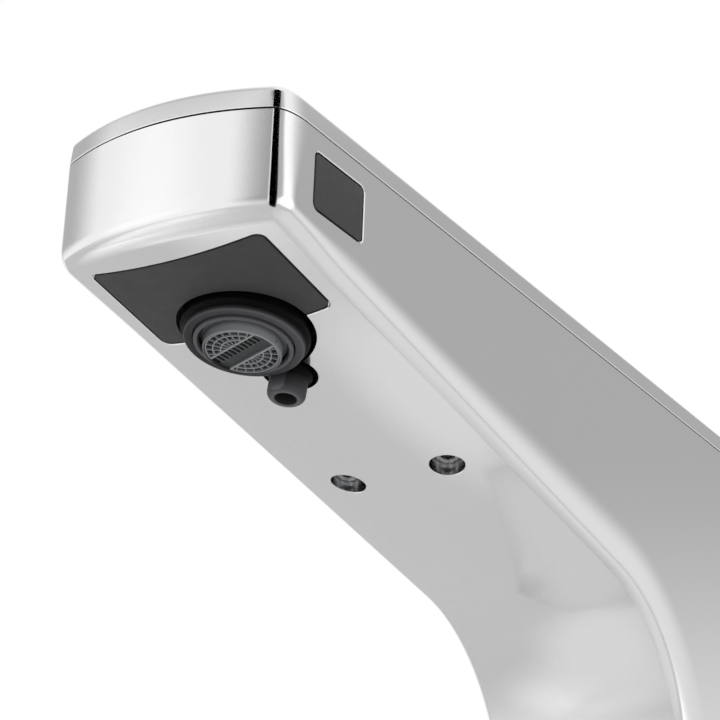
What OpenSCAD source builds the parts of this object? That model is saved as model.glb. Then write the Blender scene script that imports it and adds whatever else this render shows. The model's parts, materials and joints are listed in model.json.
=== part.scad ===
// Sensor tap with a soap nozzle beside the water outlet, for one hole in a basin or deck.
// The origin is the centre of the column on the deck. +Z is up, and the spout reaches along -Y.
// Every length is in millimetres and every angle in degrees.

/* [Body] */
// Width of the spout and of the column
body_w = 54; // [52:0.5:58]
// Height of the lid seam above the deck
seam_h = 140; // [136:1:160]
// From the centre of the column to the centre of the outlet
reach = 170; // [160:1:190]
// Depth of the column, front to rear
column_d = 45; // [44:0.5:54]
// From the front of the spout back to the centre of the outlet
outlet_back = 34.7; // [34:0.1:37]
// Height of the front face, from the seam to where it would meet the underside
front_h = 23.4; // [22.6:0.1:28]
// Fall of the underside from the front towards the column
fall = 10.1; // [8:0.1:12]
// Wall of the casting
wall = 3; // [2.6:0.1:3.4]
// Radius of the bend from the spout into the column
bend_r = 42; // [36:1:46]

/* [Edges] */
// Radius of the edge between the front face and the underside
nose_r = 4.6; // [4.3:0.1:5.6]
// Radius of the lower side edges
side_r = 5; // [4.4:0.1:6]
// Radius of the upright edges at the front
corner_r = 4.2; // [3.4:0.1:4.4]
// Radius of the upright edges at the rear
rear_r = 8; // [6:0.5:10]
// Plan radius of the bowed front face
front_bow = 57; // [50:1:80]
// Plan radius of the bowed rear face
rear_bow = 90; // [80:1:140]
// Radius across the crowned underside
crown_r = 130; // [115:1:200]
// Angle of the faint crease between the underside and its side edges
crease = 20; // [10:1:28]

/* [Lid] */
// Height of the lid's upright edge and its rounding together
lid_h = 4.7; // [4.2:0.1:6]
// Radius of the lid's upper edge
lid_r = 3; // [2:0.1:3.2]
// Rise of the lid's crowned top
lid_rise = 0.8; // [0.3:0.1:1.5]
// Height of the seam
seam_gap = 0.6; // [0.4:0.1:1]
// How far the seam's seal is set back from the outside
seam_depth = 0.8; // [0.6:0.1:1.2]
// Width of the locating rib under the lid
rib_w = 1.6; // [1.2:0.1:2]
// Depth of the locating rib under the lid
rib_h = 4; // [3:0.5:5]
// From the front of the spout back to the lid's screws
screw_back = 93.5; // [90:0.5:97]
// Half the distance between the lid's two screws
screw_x = 12.4; // [11.8:0.1:13]
// Radius of the deep hole of a lid screw
screw_hole_r = 3.9; // [3.7:0.1:4.1]
// Depth of the deep hole of a lid screw, to its shelf
screw_hole_d = 9; // [8:0.5:11]

/* [Sensor windows] */
// Width of the smoked plate on the underside
plate_w = 39.6; // [37:0.2:41]
// Length of the smoked plate on the underside
plate_l = 25.4; // [24.8:0.1:26.4]
// From the front of the spout back to the smoked plate
plate_back = 9.5; // [9.3:0.1:10]
// Thickness of the smoked plate and window
plate_t = 1.6; // [1.2:0.1:1.8]
// Corner radius of the smoked plate
plate_r = 2.4; // [1.5:0.1:3]
// Gap all round the smoked plate and window
plate_gap = 0.3; // [0.2:0.05:0.4]
// Length of the window in the right side face
window_l = 17; // [15:0.1:18]
// Height of the window in the right side face
window_h = 11.7; // [10:0.1:12.2]
// From the front of the spout back to that window
window_back = 16.9; // [15.5:0.1:19]
// From the seam down to that window
window_down = 4.6; // [3.6:0.1:5]
// Corner radius of that window
window_r = 1.5; // [1:0.1:2]

/* [Outlet] */
// Radius of the holder's rim
rim_r = 12.2; // [11.8:0.1:12.6]
// Radius of the holder's collar
collar_r = 13.1; // [12.8:0.1:13.3]
// How far the holder's rim stands out of the underside
rim_out = 2.8; // [2.4:0.1:3.6]
// Radius of the aerator's thread
thread_r = 10.2; // [9.8:0.1:10.5]
// Radius of the ball that the outlet swivels on
ball_r = 9.2; // [8.8:0.1:9.3]
// Radius of the outlet's web
grid_r = 7.5; // [7:0.1:7.6]
// Number of spokes in the outlet's web
spokes = 24; // [16:2:32]
// Width of one bar of the outlet's web
bar_w = 0.42; // [0.35:0.01:0.6]
// Distance between the outlet's two straight ribs
rib_gap = 5; // [4:0.1:6]
// Number of teeth in the comb between the ribs
teeth = 11; // [7:1:15]
// Turn of the outlet's ribs from straight across
rib_turn = 18; // [0:1:30]
// From the centre of the outlet back to the soap nozzle
nozzle_back = 16.4; // [16.3:0.1:17.4]
// Radius of the soap nozzle
nozzle_r = 4; // [3.6:0.1:4.2]
// How far the soap nozzle stands out of the underside
nozzle_out = 6; // [5:0.1:7]
// Radius of the soap nozzle's bore
nozzle_bore_r = 2.3; // [1.8:0.1:2.5]

/* [Foot] */
// Thickness of the seal under the column
foot_seal_t = 1.5; // [1:0.1:2]
// Thickness of the foot plate
foot_t = 6.5; // [6:0.1:8]
// Radius of the threaded shank
shank_r = 14; // [13.5:0.1:14.5]
// Bore radius of the threaded shank
shank_bore_r = 11; // [10.8:0.1:11.4]
// Length of the shank under the deck's top
shank_l = 60; // [54:1:80]
// Thickness of the deck that the tap is shown clamped to
deck_t = 30; // [20:1:34]
// Height of the clamping nut
nut_h = 8; // [6:0.5:10]

/* [Valve] */
// Outer radius of the solenoid coil
coil_r = 11; // [10:0.1:11.5]
// Height of the solenoid coil
coil_h = 20; // [18:0.5:22]
// Radius of the plunger
plunger_r = 4; // [3.6:0.1:4.2]
// Running clearance of the plunger, on the radius
plunger_play = 0.08; // [0.05:0.01:0.1]
// Travel of the plunger
plunger_travel = 1.5; // [1:0.1:2]
// Radius of the check valve's poppet
poppet_r = 3.4; // [3.2:0.1:3.5]
// Travel of the check valve's poppet
poppet_travel = 2.5; // [2:0.1:3]

/* [Tubes] */
// Outer radius of the water tube
water_r = 5; // [4.6:0.1:5.2]
// Bore radius of the water tube
water_bore_r = 3.8; // [3.4:0.1:4]
// Outer radius of the soap tube
soap_r = 3; // [2.8:0.1:3.2]
// Bore radius of the soap tube
soap_bore_r = 2; // [1.8:0.1:2.2]
// Radius of the leads
lead_r = 1.5; // [1.2:0.1:1.7]

/* [Hidden] */
$fn = 48;

half_w = body_w / 2;
tip_y = -(reach + outlet_back);
rear_y = column_d / 2;
foot_z = foot_seal_t;
fit = 0.05;
slope = tan(fall);
// Smallest radius that an edge keeps when an outline is drawn in
least_r = 0.4;

// Side profile of the outside at the middle: the nose arc, the straight underside and the bend
nose_z = seam_h - front_h + nose_r * (1 / cos(fall) - slope);
bend_y = -column_d / 2 - bend_r;
bend_z = seam_h - front_h - slope * (-column_d / 2 - tip_y) - bend_r * tan((90 - fall) / 2);
nose_end = [tip_y + nose_r - nose_r * sin(fall), nose_z - nose_r * cos(fall)];
bend_start = [bend_y + bend_r * sin(fall), bend_z + bend_r * cos(fall)];

// Numbers of steps: across the middle, round an edge, round the nose and round the bend
n_mid = 4;
n_edge = 5;
n_nose = 6;
n_run = 5;
n_bend = 10;
n_half = n_mid + n_edge;

function mix(a, b, t) = a + (b - a) * t;
function clamp(t) = min(max(t, 0), 1);
function ease(t) = let (c = clamp(t)) c * c * (3 - 2 * c);
// Sag of a circular arc of radius r at x from its middle
function sag(x, r) = r - sqrt(r * r - x * x);
// Rise of a rounded edge of radius r at the side of a face of half width w, with a crease of angle a
function rise(x, w, r, a) =
    let (u = abs(x) - w + r)
    u <= r * sin(a) ? 0 : r * cos(a) - sqrt(max(r * r - u * u, 0));
// Place across a face: even steps over the middle, then even angles round the edge
function across(k, w, r, a) =
    let (m = abs(k))
    sign(k) * (m <= n_mid
        ? (w - r + r * sin(a)) * m / n_mid
        : w - r + r * sin(a + (90 - a) * (m - n_mid) / n_edge));

// A station is [y, z, direction, edge radius, share of the bow, share of the crown, kind]
function front_stations(top) = [
    for (t = [0, 0.4, 0.8])
    [tip_y, mix(top, nose_z, t), -90, corner_r, 1, t, 0]
];
function nose_stations() = [
    for (i = [0:n_nose])
    let (a = mix(-90, -fall, i / n_nose))
    [tip_y + nose_r + nose_r * sin(a), nose_z - nose_r * cos(a), a,
        mix(corner_r, nose_r - 0.2, i / n_nose), 1, 1, 0]
];
function run_stations() = [
    for (s = [for (i = [1:n_run]) 30 * i / n_run])
    [nose_end[0] + s * cos(fall), nose_end[1] - s * sin(fall), -fall,
        mix(nose_r - 0.2, side_r, clamp(s / 24)), 1 - ease(s / 30), 1, 0]
];
function bend_stations() = [
    for (i = [0:n_bend])
    let (a = mix(-fall, -90, i / n_bend))
    [bend_y - bend_r * sin(a), bend_z + bend_r * cos(a), a, side_r, 0, 1, 1]
];
function foot_stations(base) = [[-column_d / 2, base, -90, side_r, 0, 1, 1]];
function stations(top, base) = concat(
    front_stations(top), nose_stations(), run_stations(), bend_stations(), foot_stations(base));

// A point of the front, nose, underside, bend or column front, set in from the outside by "inset"
function skin(s, k, inset) =
    let (
        w = half_w - inset,
        r = max(s[3] - inset, 0.6),
        x = across(k, w, r, crease),
        n = [-sin(s[2]), cos(s[2])],
        d = inset + rise(x, w, r, crease),
        b = sag(x, front_bow) * s[4],
        c = sag(x, crown_r) * s[5],
        v = s[6] == 1 ? n * c : [b, (c / cos(fall) - b * slope) * (s[5] == 0 ? 0 : s[5])],
        p = [s[0], s[1]] + n * d + v
    )
    [x, p[0], p[1]];
// A point of the rear face at height z
function back(k, inset, z) =
    let (
        w = half_w - inset,
        r = rear_r - inset,
        x = across(k, w, r, 0)
    )
    [x, rear_y - inset - sag(x, rear_bow) - rise(x, w, r, 0), z];
// The far side of station i: a straight line along the top, then the rear face from the top down
function far(i, k, inset, top, base) =
    let (
        n0 = 3 + n_nose,
        n1 = n0 + n_run + 1,
        half = floor(n_bend / 2),
        x = across(k, half_w - inset, rear_r - inset, 0),
        y_a = tip_y + 16,
        y_b = bend_start[0],
        y_c = rear_y - rear_r - 11
    )
    i <= n0 ? [x, y_a + i * 0.5, top] :
    i < n1 ? [x, mix(y_a + n0 / 2, y_b, (i - n0) / (n1 - n0)), top] :
    i < n1 + half ? [x, mix(y_b, y_c, (i - n1) / (half - 1)), top] :
    i <= n1 + n_bend ? back(k, inset, mix(top, bend_z, (i - n1 - half) / (n_bend - half))) :
    back(k, inset, base);

// Faces of one skin, as [station, place] pairs turned to numbers; the skin stays open along the top
top_last = 3 + n_nose + n_run + floor(n_bend / 2);
per = 2 * (2 * n_half + 1);
function skin_points(list, inset, top, base) = [
    for (i = [0:len(list) - 1])
    for (side = [0, 1])
    for (k = [-n_half:n_half])
    side == 0 ? skin(list[i], k, inset) : far(i, -k, inset, top, base)
];
function skin_faces(count) = [
    for (i = [0:count - 2])
    for (j = [0:per - 1])
    if (i > top_last || j < per / 2 || j == per - 1)
    let (a = i * per + j, b = i * per + (j + 1) % per)
    each j < per / 2 && j >= n_half
        ? [[a, b, a + per], [b, b + per, a + per]]
        : [[a, b, b + per], [a, b + per, a + per]]
];
// Places round the open top, and round the foot
function top_loop() = concat(
    [for (j = [0:per / 2 - 1]) j],
    [for (i = [0:top_last]) i * per + per / 2],
    [for (j = [per / 2:per - 1]) (top_last + 1) * per + j],
    [for (i = [top_last:-1:0]) i * per + per - 1]
);
function foot_loop(count) = [for (j = [0:per - 1]) (count - 1) * per + j];
function rim(loop, m, turn) = [
    for (i = [0:len(loop) - 1])
    let (a = loop[i], b = loop[(i + 1) % len(loop)])
    each turn ? [[b, a, a + m], [b, a + m, b + m]] : [[a, b, b + m], [a, b + m, a + m]]
];
// The casting without its holes: an outer and an inner skin joined round the top and the foot
module casting(top, base, t) {
    list = stations(top, base);
    count = len(list);
    m = count * per;
    points = concat(skin_points(list, 0, top, base), skin_points(list, t, top, base));
    outer = skin_faces(count);
    inner = [for (f = outer) [f[0] + m, f[2] + m, f[1] + m]];
    polyhedron(
        points = points,
        faces = concat(outer, inner, rim(top_loop(), m, true), rim(foot_loop(count), m, false)),
        convexity = 8
    );
}

// Outline seen from above, set in by "inset": a bowed front with edges of radius "edge", and the rear
function plan(front, bow, edge, inset) =
    let (w = half_w - inset, r = max(edge - inset, least_r), q = max(rear_r - inset, least_r))
    concat(
        [for (k = [-n_half:n_half])
            let (x = across(k, w, r, crease))
            [x, front + inset + sag(x, bow) + rise(x, w, r, crease)]],
        [for (k = [n_half:-1:-n_half])
            let (x = across(k, w, q, 0))
            [x, rear_y - inset - sag(x, rear_bow) - rise(x, w, q, 0)]]
    );
// The whole plan of spout and column, and the column alone as at its foot
function outline(inset) = plan(tip_y, front_bow, corner_r, inset);
function foot_outline(inset) = plan(-column_d / 2, crown_r, side_r, inset);

// Sets its children at the outlet, with z along the outlet's axis into the spout
module at_outlet() {
    translate([0, -reach, seam_h - front_h - slope * outlet_back])
    rotate([-fall, 0, 0])
    children();
}
// The same place as a function: local [x, y, z] to the part's frame
function from_outlet(p) = [
    p[0],
    -reach + p[1] * cos(fall) + p[2] * sin(fall),
    seam_h - front_h - slope * outlet_back - p[1] * sin(fall) + p[2] * cos(fall)
];

// A rod along y whose surface is the crowned underside, set in by "inset"
module crown_rod(inset) {
    translate([0, 0, crown_r])
    rotate([90, 0, 0])
    cylinder(r = crown_r - inset, h = 200, center = true, $fn = 96);
}

module rounded_square(size, r) {
    square([size[0] - 2 * r, size[1]], center = true);
    square([size[0], size[1] - 2 * r], center = true);
    for (x = [-1, 1], y = [-1, 1])
        translate([x * (size[0] / 2 - r), y * (size[1] / 2 - r)])
        circle(r = r);
}

// Outline of the smoked plate, grown by a gap
plate_mid = (-outlet_back + plate_back) / cos(fall) + plate_l / 2;
module plate_outline(grow) {
    translate([0, plate_mid])
    rounded_square([plate_w + 2 * grow, plate_l + 2 * grow], plate_r + grow);
}

// Outline of the outlet's opening round the collar and the soap nozzle
hole_gap = 1.1;
module holder_outline(grow) {
    circle(r = collar_r + grow);
    translate([0, nozzle_back])
    circle(r = nozzle_r + 0.8 + grow);
    translate([-3 - grow, 0])
    square([6 + 2 * grow, nozzle_back]);
}

// Seats inside the spout: the holder's flange and the front sensor's block stand on flats
flange_r = 16;
flange_t = 1.8;
seat_sink = 0.2;
seat_z = wall - seat_sink + 0.02;
holder_y = [-24.9, -16.8];
holder_x = 17;

window_y = tip_y + window_back + window_l / 2;
window_z = seam_h - window_down - window_h / 2;
module at_window() {
    translate([half_w, window_y, window_z])
    rotate([90, 0, 90])
    children();
}

screw_y = tip_y + screw_back;
// Height of the underside at the lid's screws, under their middle
screw_floor = seam_h - front_h - slope * screw_back + sag(screw_x, crown_r) / cos(fall);
shelf_z = screw_floor + screw_hole_d;
shelf_t = 3;
m4_r = 2;
head_r = 3.5;
head_h = 4;

lug_x = half_w - wall - 4.4;
lug_r = 4.6;
foot_top = foot_z + foot_t;
lug_top = foot_top + 13;

module body_shell() {
    color("#d9dbde")
    difference() {
        union() {
            casting(seam_h, foot_z, wall);
            // Pillars of the lid's screws
            for (x = [-1, 1])
                intersection() {
                    translate([x * screw_x, screw_y, screw_floor - 4])
                    cylinder(r = screw_hole_r + 1.7, h = shelf_z + shelf_t - screw_floor + 4);
                    at_outlet()
                    crown_rod(wall / 2);
                }
            // Lugs of the foot plate
            for (x = [-1, 1])
                translate([x * lug_x, 0, foot_top + fit])
                cylinder(r = lug_r, h = lug_top - foot_top);
        }
        for (x = [-1, 1]) {
            translate([x * screw_x, screw_y, screw_floor - 12])
            cylinder(r = screw_hole_r, h = screw_hole_d + 12);
            translate([x * screw_x, screw_y, shelf_z - 1])
            cylinder(r = m4_r + 0.25, h = shelf_t + 2);
            translate([x * lug_x, 0, foot_top - 1])
            cylinder(r = m4_r, h = 12);
        }
        at_outlet() {
            // Seat of the smoked plate
            difference() {
                translate([0, 0, -6])
                linear_extrude(16)
                plate_outline(plate_gap);
                crown_rod(plate_t + 0.1);
            }
            // Opening of the outlet and the flat that its flange stands on
            translate([0, 0, -6])
            linear_extrude(12)
            holder_outline(hole_gap);
            translate([0, 0, wall - seat_sink])
            cylinder(r = flange_r + 0.4, h = 6);
            // Opening behind the plate for the front sensor, and the flat of its block
            translate([-13, holder_y[0] + 2, -2])
            cube([26, holder_y[1] - holder_y[0] - 3, 12]);
            translate([-holder_x - 0.4, holder_y[0] - 0.4, wall - seat_sink])
            cube([2 * holder_x + 0.8, holder_y[1] - holder_y[0] + 2, 4]);
        }
        at_window() {
            translate([0, 0, -plate_t - 0.1])
            linear_extrude(10)
            rounded_square([window_l + 2 * plate_gap, window_h + 2 * plate_gap], window_r + plate_gap);
            translate([0, 0, -wall - 1])
            linear_extrude(10)
            rounded_square([window_l - 4, window_h - 4], window_r);
        }
    }
}

// Closed solid through a list of rings that all have the same number of points
module stack(rings) {
    m = len(rings[0]);
    points = [for (r = rings) each r];
    walls = [
        for (i = [0:len(rings) - 2])
        for (j = [0:m - 1])
        let (a = i * m + j, b = i * m + (j + 1) % m)
        each [[a, b + m, b], [a, a + m, b + m]]
    ];
    first = [for (j = [0:m - 1]) j];
    last = [for (j = [m - 1:-1:0]) (len(rings) - 1) * m + j];
    polyhedron(points = points, faces = concat(walls, [first, last]), convexity = 6);
}

// Solid between outlines that step in and up round the lid's upper edge
lid_z = seam_h + seam_gap;
module lid_form() {
    rounds = 5;
    // [inset, height] of each ring of the lid's outside, then the crown
    rings = concat(
        [[0, 0]],
        [for (i = [0:rounds])
            let (a = 90 * i / rounds)
            [lid_r * (1 - cos(a)), lid_h - lid_r + lid_r * sin(a)]],
        [for (i = [1:3]) [lid_r + 4 * i, lid_h + lid_rise * (1 - pow(1 - i / 3, 2))]]
    );
    lists = [for (q = rings) let (o = outline(q[0])) [for (p = o) [p[0], p[1], lid_z + q[1]]]];
    stack(lists);
}
// How far the rib and the posts reach into the lid
root = 0.5;
post_r = 4.5;
carrier_z = seam_h - 1;
carrier_t = 2;
carrier_y = [screw_y + post_r + 2.7, screw_y + post_r + 64.7];
carrier_x = half_w - wall - rib_w - 2;
carrier_screw = [carrier_x - 3.2, 5];
module top_lid() {
    color("#dfe1e4")
    difference() {
        union() {
            lid_form();
            // Locating rib inside the walls of the casting
            translate([0, 0, lid_z - rib_h])
            linear_extrude(rib_h + root)
            difference() {
                polygon(outline(wall + 0.15));
                polygon(outline(wall + 0.15 + rib_w));
            }
            for (x = [-1, 1])
                translate([x * screw_x, screw_y, shelf_z + shelf_t + 0.3])
                cylinder(r = post_r, h = lid_z - shelf_z - shelf_t - 0.3 + root);
            for (x = [-1, 1], y = [carrier_y[0] + carrier_screw[1], carrier_y[1] - carrier_screw[1]])
                translate([x * carrier_screw[0], y, carrier_z])
                cylinder(r = 3, h = lid_z - carrier_z + root);
        }
        for (x = [-1, 1]) {
            translate([x * screw_x, screw_y, shelf_z + shelf_t])
            cylinder(r = m4_r, h = 16);
            for (y = [carrier_y[0] + carrier_screw[1], carrier_y[1] - carrier_screw[1]])
                translate([x * carrier_screw[0], y, carrier_z - 1])
                cylinder(r = 1.25, h = 4.5);
        }
    }
}

module lid_gasket() {
    color("#26272a")
    translate([0, 0, seam_h])
    linear_extrude(seam_gap)
    difference() {
        polygon(outline(seam_depth));
        polygon(outline(wall - 0.1));
    }
}

// Cap screw with its head down and a hexagon socket in the head
module cap_screw(r, l, head, tall) {
    difference() {
        union() {
            translate([0, 0, -tall])
            cylinder(r = head, h = tall);
            cylinder(r = r, h = l);
        }
        translate([0, 0, -tall - 1])
        cylinder(r = head * 0.5, h = 1 + tall * 0.55, $fn = 6);
    }
}

module lid_screws() {
    color("#b9bcc0")
    for (x = [-1, 1])
        translate([x * screw_x, screw_y, shelf_z])
        cap_screw(m4_r, 16, head_r, head_h);
}

module under_plate() {
    color("#48494b")
    at_outlet()
    difference() {
        intersection() {
            translate([0, 0, -4])
            linear_extrude(12)
            plate_outline(0);
            crown_rod(0.1);
        }
        crown_rod(plate_t);
        translate([0, 0, -6])
        linear_extrude(12)
        holder_outline(hole_gap - 0.1);
    }
}

module side_window() {
    color("#48494b")
    at_window()
    translate([0, 0, -plate_t - 0.05])
    linear_extrude(plate_t)
    rounded_square([window_l, window_h], window_r);
}

// Levels along the outlet's axis
pocket_top = 7;
chamber_top = 11.5;
holder_top = 13;
spigot_x = -6;
spigot_z = 9.5;
barb_x = 3;
barb_y = nozzle_back + 0.4;
barb_z = 9;
tube_end_y = 22;
spigot_y = 4;
spigot_slack = 0.2;
spigot_bore_r = water_bore_r - 1.4;
spigot_end = tube_end_y + 4.5;
barb_foot = 5.4;
barb_l = 5.6;
barb_slack = 0.3;
module outlet_housing() {
    color("#202123")
    at_outlet()
    difference() {
        union() {
            translate([0, 0, -rim_out])
            cylinder(r = rim_r, h = rim_out);
            translate([0, 0, -rim_out + 1.5])
            cylinder(r1 = rim_r, r2 = collar_r, h = 0.5);
            translate([0, 0, -rim_out + 2])
            cylinder(r = collar_r, h = holder_top + rim_out - 2);
            translate([0, 0, seat_z])
            cylinder(r = flange_r, h = flange_t);
            // Body of the soap nozzle, with a round shoulder at its end
            translate([0, nozzle_back, -nozzle_out + 1.4])
            cylinder(r = nozzle_r, h = nozzle_out + 6);
            translate([0, nozzle_back, -nozzle_out])
            rotate_extrude()
            union() {
                square([nozzle_r - 1.4, 1.5]);
                translate([nozzle_r - 1.4, 1.4])
                circle(r = 1.4);
            }
            translate([0, nozzle_back, -0.6])
            cylinder(r = nozzle_r + 0.8, h = 8);
            translate([-3, 0, -1.4])
            cube([6, nozzle_back, 8.8]);
            // Spigot of the water tube and barb of the soap tube
            translate([spigot_x, spigot_y, spigot_z])
            rotate([-90, 0, 0])
            cylinder(r = water_bore_r - spigot_slack, h = spigot_end - spigot_y);
            translate([barb_x, barb_y, barb_foot])
            cylinder(r = soap_bore_r + 0.6, h = barb_z - barb_foot - 1);
            translate([barb_x, barb_y, barb_foot])
            cylinder(r = soap_bore_r - barb_slack, h = barb_l);
        }
        translate([0, 0, -rim_out - 1])
        cylinder(r = thread_r + fit, h = rim_out + 1 + pocket_top);
        translate([0, 0, pocket_top - 1])
        cylinder(r = thread_r - 1.2, h = chamber_top - pocket_top + 1);
        translate([0, nozzle_back, -nozzle_out - 1])
        cylinder(r = nozzle_bore_r, h = nozzle_out + 6);
        translate([spigot_x, spigot_y, spigot_z])
        rotate([-90, 0, 0])
        cylinder(r = spigot_bore_r, h = tube_end_y + 4);
    }
}

ball_z = 0.5;
lip_r = 8.8;
ring_out = 0.6;
seal_t = 1.5;
// Pins that the outlet's core turns on, in slots of the ring
pin_r = 1.2;
pin_play = 0.06;
pin_reach = thread_r - 0.25;
module aerator_ring() {
    color("#3a3b3d")
    at_outlet()
    difference() {
        translate([0, 0, -rim_out - ring_out])
        cylinder(r = thread_r - 0.1, h = rim_out + ring_out + pocket_top - seal_t);
        translate([0, 0, ball_z])
        sphere(r = ball_r + 0.1);
        translate([0, 0, ball_z])
        cylinder(r = ball_r + 0.1, h = pocket_top);
        translate([0, 0, -rim_out - ring_out - 1])
        cylinder(r = lip_r, h = 5);
        translate([0, 0, -rim_out - ring_out - 0.01])
        cylinder(r1 = lip_r + 0.7, r2 = lip_r, h = 0.9);
        // Slots of the core's two pins, open at the top
        translate([0, 0, ball_z]) {
            rotate([0, 90, 0])
            cylinder(r = pin_r + pin_play, h = 2 * thread_r, center = true);
            translate([-thread_r, -pin_r - pin_play, 0])
            cube([2 * thread_r, 2 * (pin_r + pin_play), pocket_top]);
        }
    }
}

core_out = 1.6;
core_face = -rim_out - ring_out - core_out;
module aerator_core() {
    color("#8d9094")
    at_outlet()
    difference() {
        union() {
            intersection() {
                translate([0, 0, ball_z])
                sphere(r = ball_r);
                translate([0, 0, -2.6])
                cylinder(r = ball_r + 1, h = 2.6 + ball_z + 3.7);
            }
            translate([0, 0, core_face])
            cylinder(r1 = grid_r + 0.45, r2 = grid_r + 0.6, h = -core_face - 2.5);
            translate([0, 0, ball_z])
            rotate([0, 90, 0])
            cylinder(r = pin_r, h = 2 * pin_reach, center = true);
        }
        translate([0, 0, core_face - 1])
        cylinder(r = grid_r + fit, h = 2.6);
        translate([0, 0, core_face])
        cylinder(r = grid_r - 0.6, h = 14);
    }
}

// The outlet's web: rings and spokes on both sides of two straight ribs, a comb and a solid strip
module outlet_grid() {
    color("#6c6f73")
    at_outlet()
    translate([0, 0, core_face + 0.15])
    rotate(-rib_turn)
    linear_extrude(1.3)
    union() {
        difference() {
            circle(r = grid_r);
            circle(r = grid_r - 0.5);
        }
        intersection() {
            circle(r = grid_r - 0.2);
            union() {
                difference() {
                    union() {
                        for (r = [0.36, 0.57, 0.78])
                            difference() {
                                circle(r = grid_r * r + bar_w / 2);
                                circle(r = grid_r * r - bar_w / 2);
                            }
                        for (i = [0:spokes / 2 - 1])
                            rotate(i * 360 / spokes)
                            square([2 * grid_r, bar_w], center = true);
                    }
                    square([2 * grid_r, rib_gap], center = true);
                }
                for (s = [-1, 1])
                    translate([0, s * rib_gap / 2])
                    square([2 * grid_r, bar_w * 1.6], center = true);
                translate([0, rib_gap / 4])
                square([2 * grid_r, rib_gap / 2], center = true);
                for (i = [-(teeth - 1) / 2:(teeth - 1) / 2])
                    translate([i * 2 * grid_r / (teeth + 1), -rib_gap / 4])
                    square([bar_w, rib_gap / 2 + 0.2], center = true);
            }
        }
    }
}

module aerator_seal() {
    color("#151516")
    at_outlet()
    translate([0, 0, pocket_top - seal_t])
    difference() {
        cylinder(r = thread_r - 0.1, h = seal_t);
        translate([0, 0, -1])
        cylinder(r = grid_r, h = seal_t + 2);
    }
}

module flow_screen() {
    color("#a8abae")
    at_outlet()
    translate([0, 0, pocket_top])
    linear_extrude(0.8)
    difference() {
        circle(r = thread_r - 1.25);
        for (ring = [[0, 1], [2.3, 6], [4.6, 12], [6.9, 18]])
            for (i = [0:ring[1] - 1])
                rotate(i * 360 / ring[1])
                translate([ring[0], 0])
                circle(r = 0.7, $fn = 16);
    }
}

// Block with two sight holes, a board on it and an emitter and a receiver in the holes
led_x = 8;
led_r = 2.4;
led_play = 0.1;
block_h = 6;
board_t = 1.2;
led_y = (holder_y[0] + holder_y[1]) / 2;
module sensor_holder() {
    color("#1a1a1c")
    at_outlet()
    difference() {
        translate([-holder_x, holder_y[0], seat_z])
        cube([2 * holder_x, holder_y[1] - holder_y[0], block_h]);
        for (x = [-1, 1])
            translate([x * led_x, led_y, -1])
            cylinder(r = led_r + led_play, h = 20);
    }
}
module sensor_board() {
    color("#2f6b45")
    at_outlet()
    translate([-holder_x, holder_y[0], seat_z + block_h])
    cube([2 * holder_x, holder_y[1] - holder_y[0], board_t]);
}
module ir_pair() {
    color("#30203a")
    at_outlet()
    for (x = [-1, 1])
        translate([x * led_x, led_y, seat_z + 1.5]) {
            cylinder(r = led_r, h = block_h - 1.5);
            sphere(r = led_r);
        }
}

side_block = [14, 9, 5.4];
side_led_x = 3.6;
side_led_r = 1.5;
side_base = -wall - 0.05 - side_block[2];
module side_holder() {
    color("#1a1a1c")
    at_window()
    difference() {
        translate([-side_block[0] / 2, -side_block[1] / 2, side_base])
        cube(side_block);
        for (x = [-1, 1])
            translate([x * side_led_x, 0, -wall - 10])
            cylinder(r = side_led_r + led_play, h = 20);
    }
}
module side_board() {
    color("#2f6b45")
    at_window()
    translate([-side_block[0] / 2, -side_block[1] / 2, side_base - board_t])
    cube([side_block[0], side_block[1], board_t]);
}
module side_ir_pair() {
    color("#30203a")
    at_window()
    for (x = [-1, 1])
        translate([x * side_led_x, 0, side_base]) {
            cylinder(r = side_led_r, h = side_block[2] - 1);
            translate([0, 0, side_block[2] - 1])
            sphere(r = side_led_r);
        }
}

module_w = 2 * (carrier_x - 7.9);
cradle_gap = 0.15;
module_h = 16;
module_y = [carrier_y[0] + 4, carrier_y[1] - 2];
module_top = carrier_z - carrier_t;
module control_module() {
    color("#232427")
    translate([-module_w / 2, module_y[0], module_top - module_h])
    cube([module_w, module_y[1] - module_y[0], module_h]);
}

cradle_t = 1.5;
module module_carrier() {
    color("#cfcfca")
    difference() {
        union() {
            translate([-carrier_x, carrier_y[0], module_top])
            cube([2 * carrier_x, carrier_y[1] - carrier_y[0], carrier_t]);
            for (x = [-1, 1]) {
                translate([x * (module_w / 2 + cradle_gap + cradle_t / 2), (module_y[0] + module_y[1]) / 2,
                    module_top - (module_h + cradle_gap + cradle_t) / 2])
                cube([cradle_t, module_y[1] - module_y[0], module_h + cradle_gap + cradle_t], center = true);
                translate([x * (module_w / 2 - 0.6), (module_y[0] + module_y[1]) / 2,
                    module_top - module_h - cradle_gap - cradle_t / 2])
                cube([3.6, module_y[1] - module_y[0], cradle_t], center = true);
            }
        }
        for (x = [-1, 1], y = [carrier_y[0] + carrier_screw[1], carrier_y[1] - carrier_screw[1]])
            translate([x * carrier_screw[0], y, module_top - 1])
            cylinder(r = 1.7, h = carrier_t + 2);
    }
}
module carrier_screws() {
    color("#b9bcc0")
    for (x = [-1, 1], y = [carrier_y[0] + carrier_screw[1], carrier_y[1] - carrier_screw[1]])
        translate([x * carrier_screw[0], y, module_top])
        cap_screw(1.25, 5, 2.6, 2);
}

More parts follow.
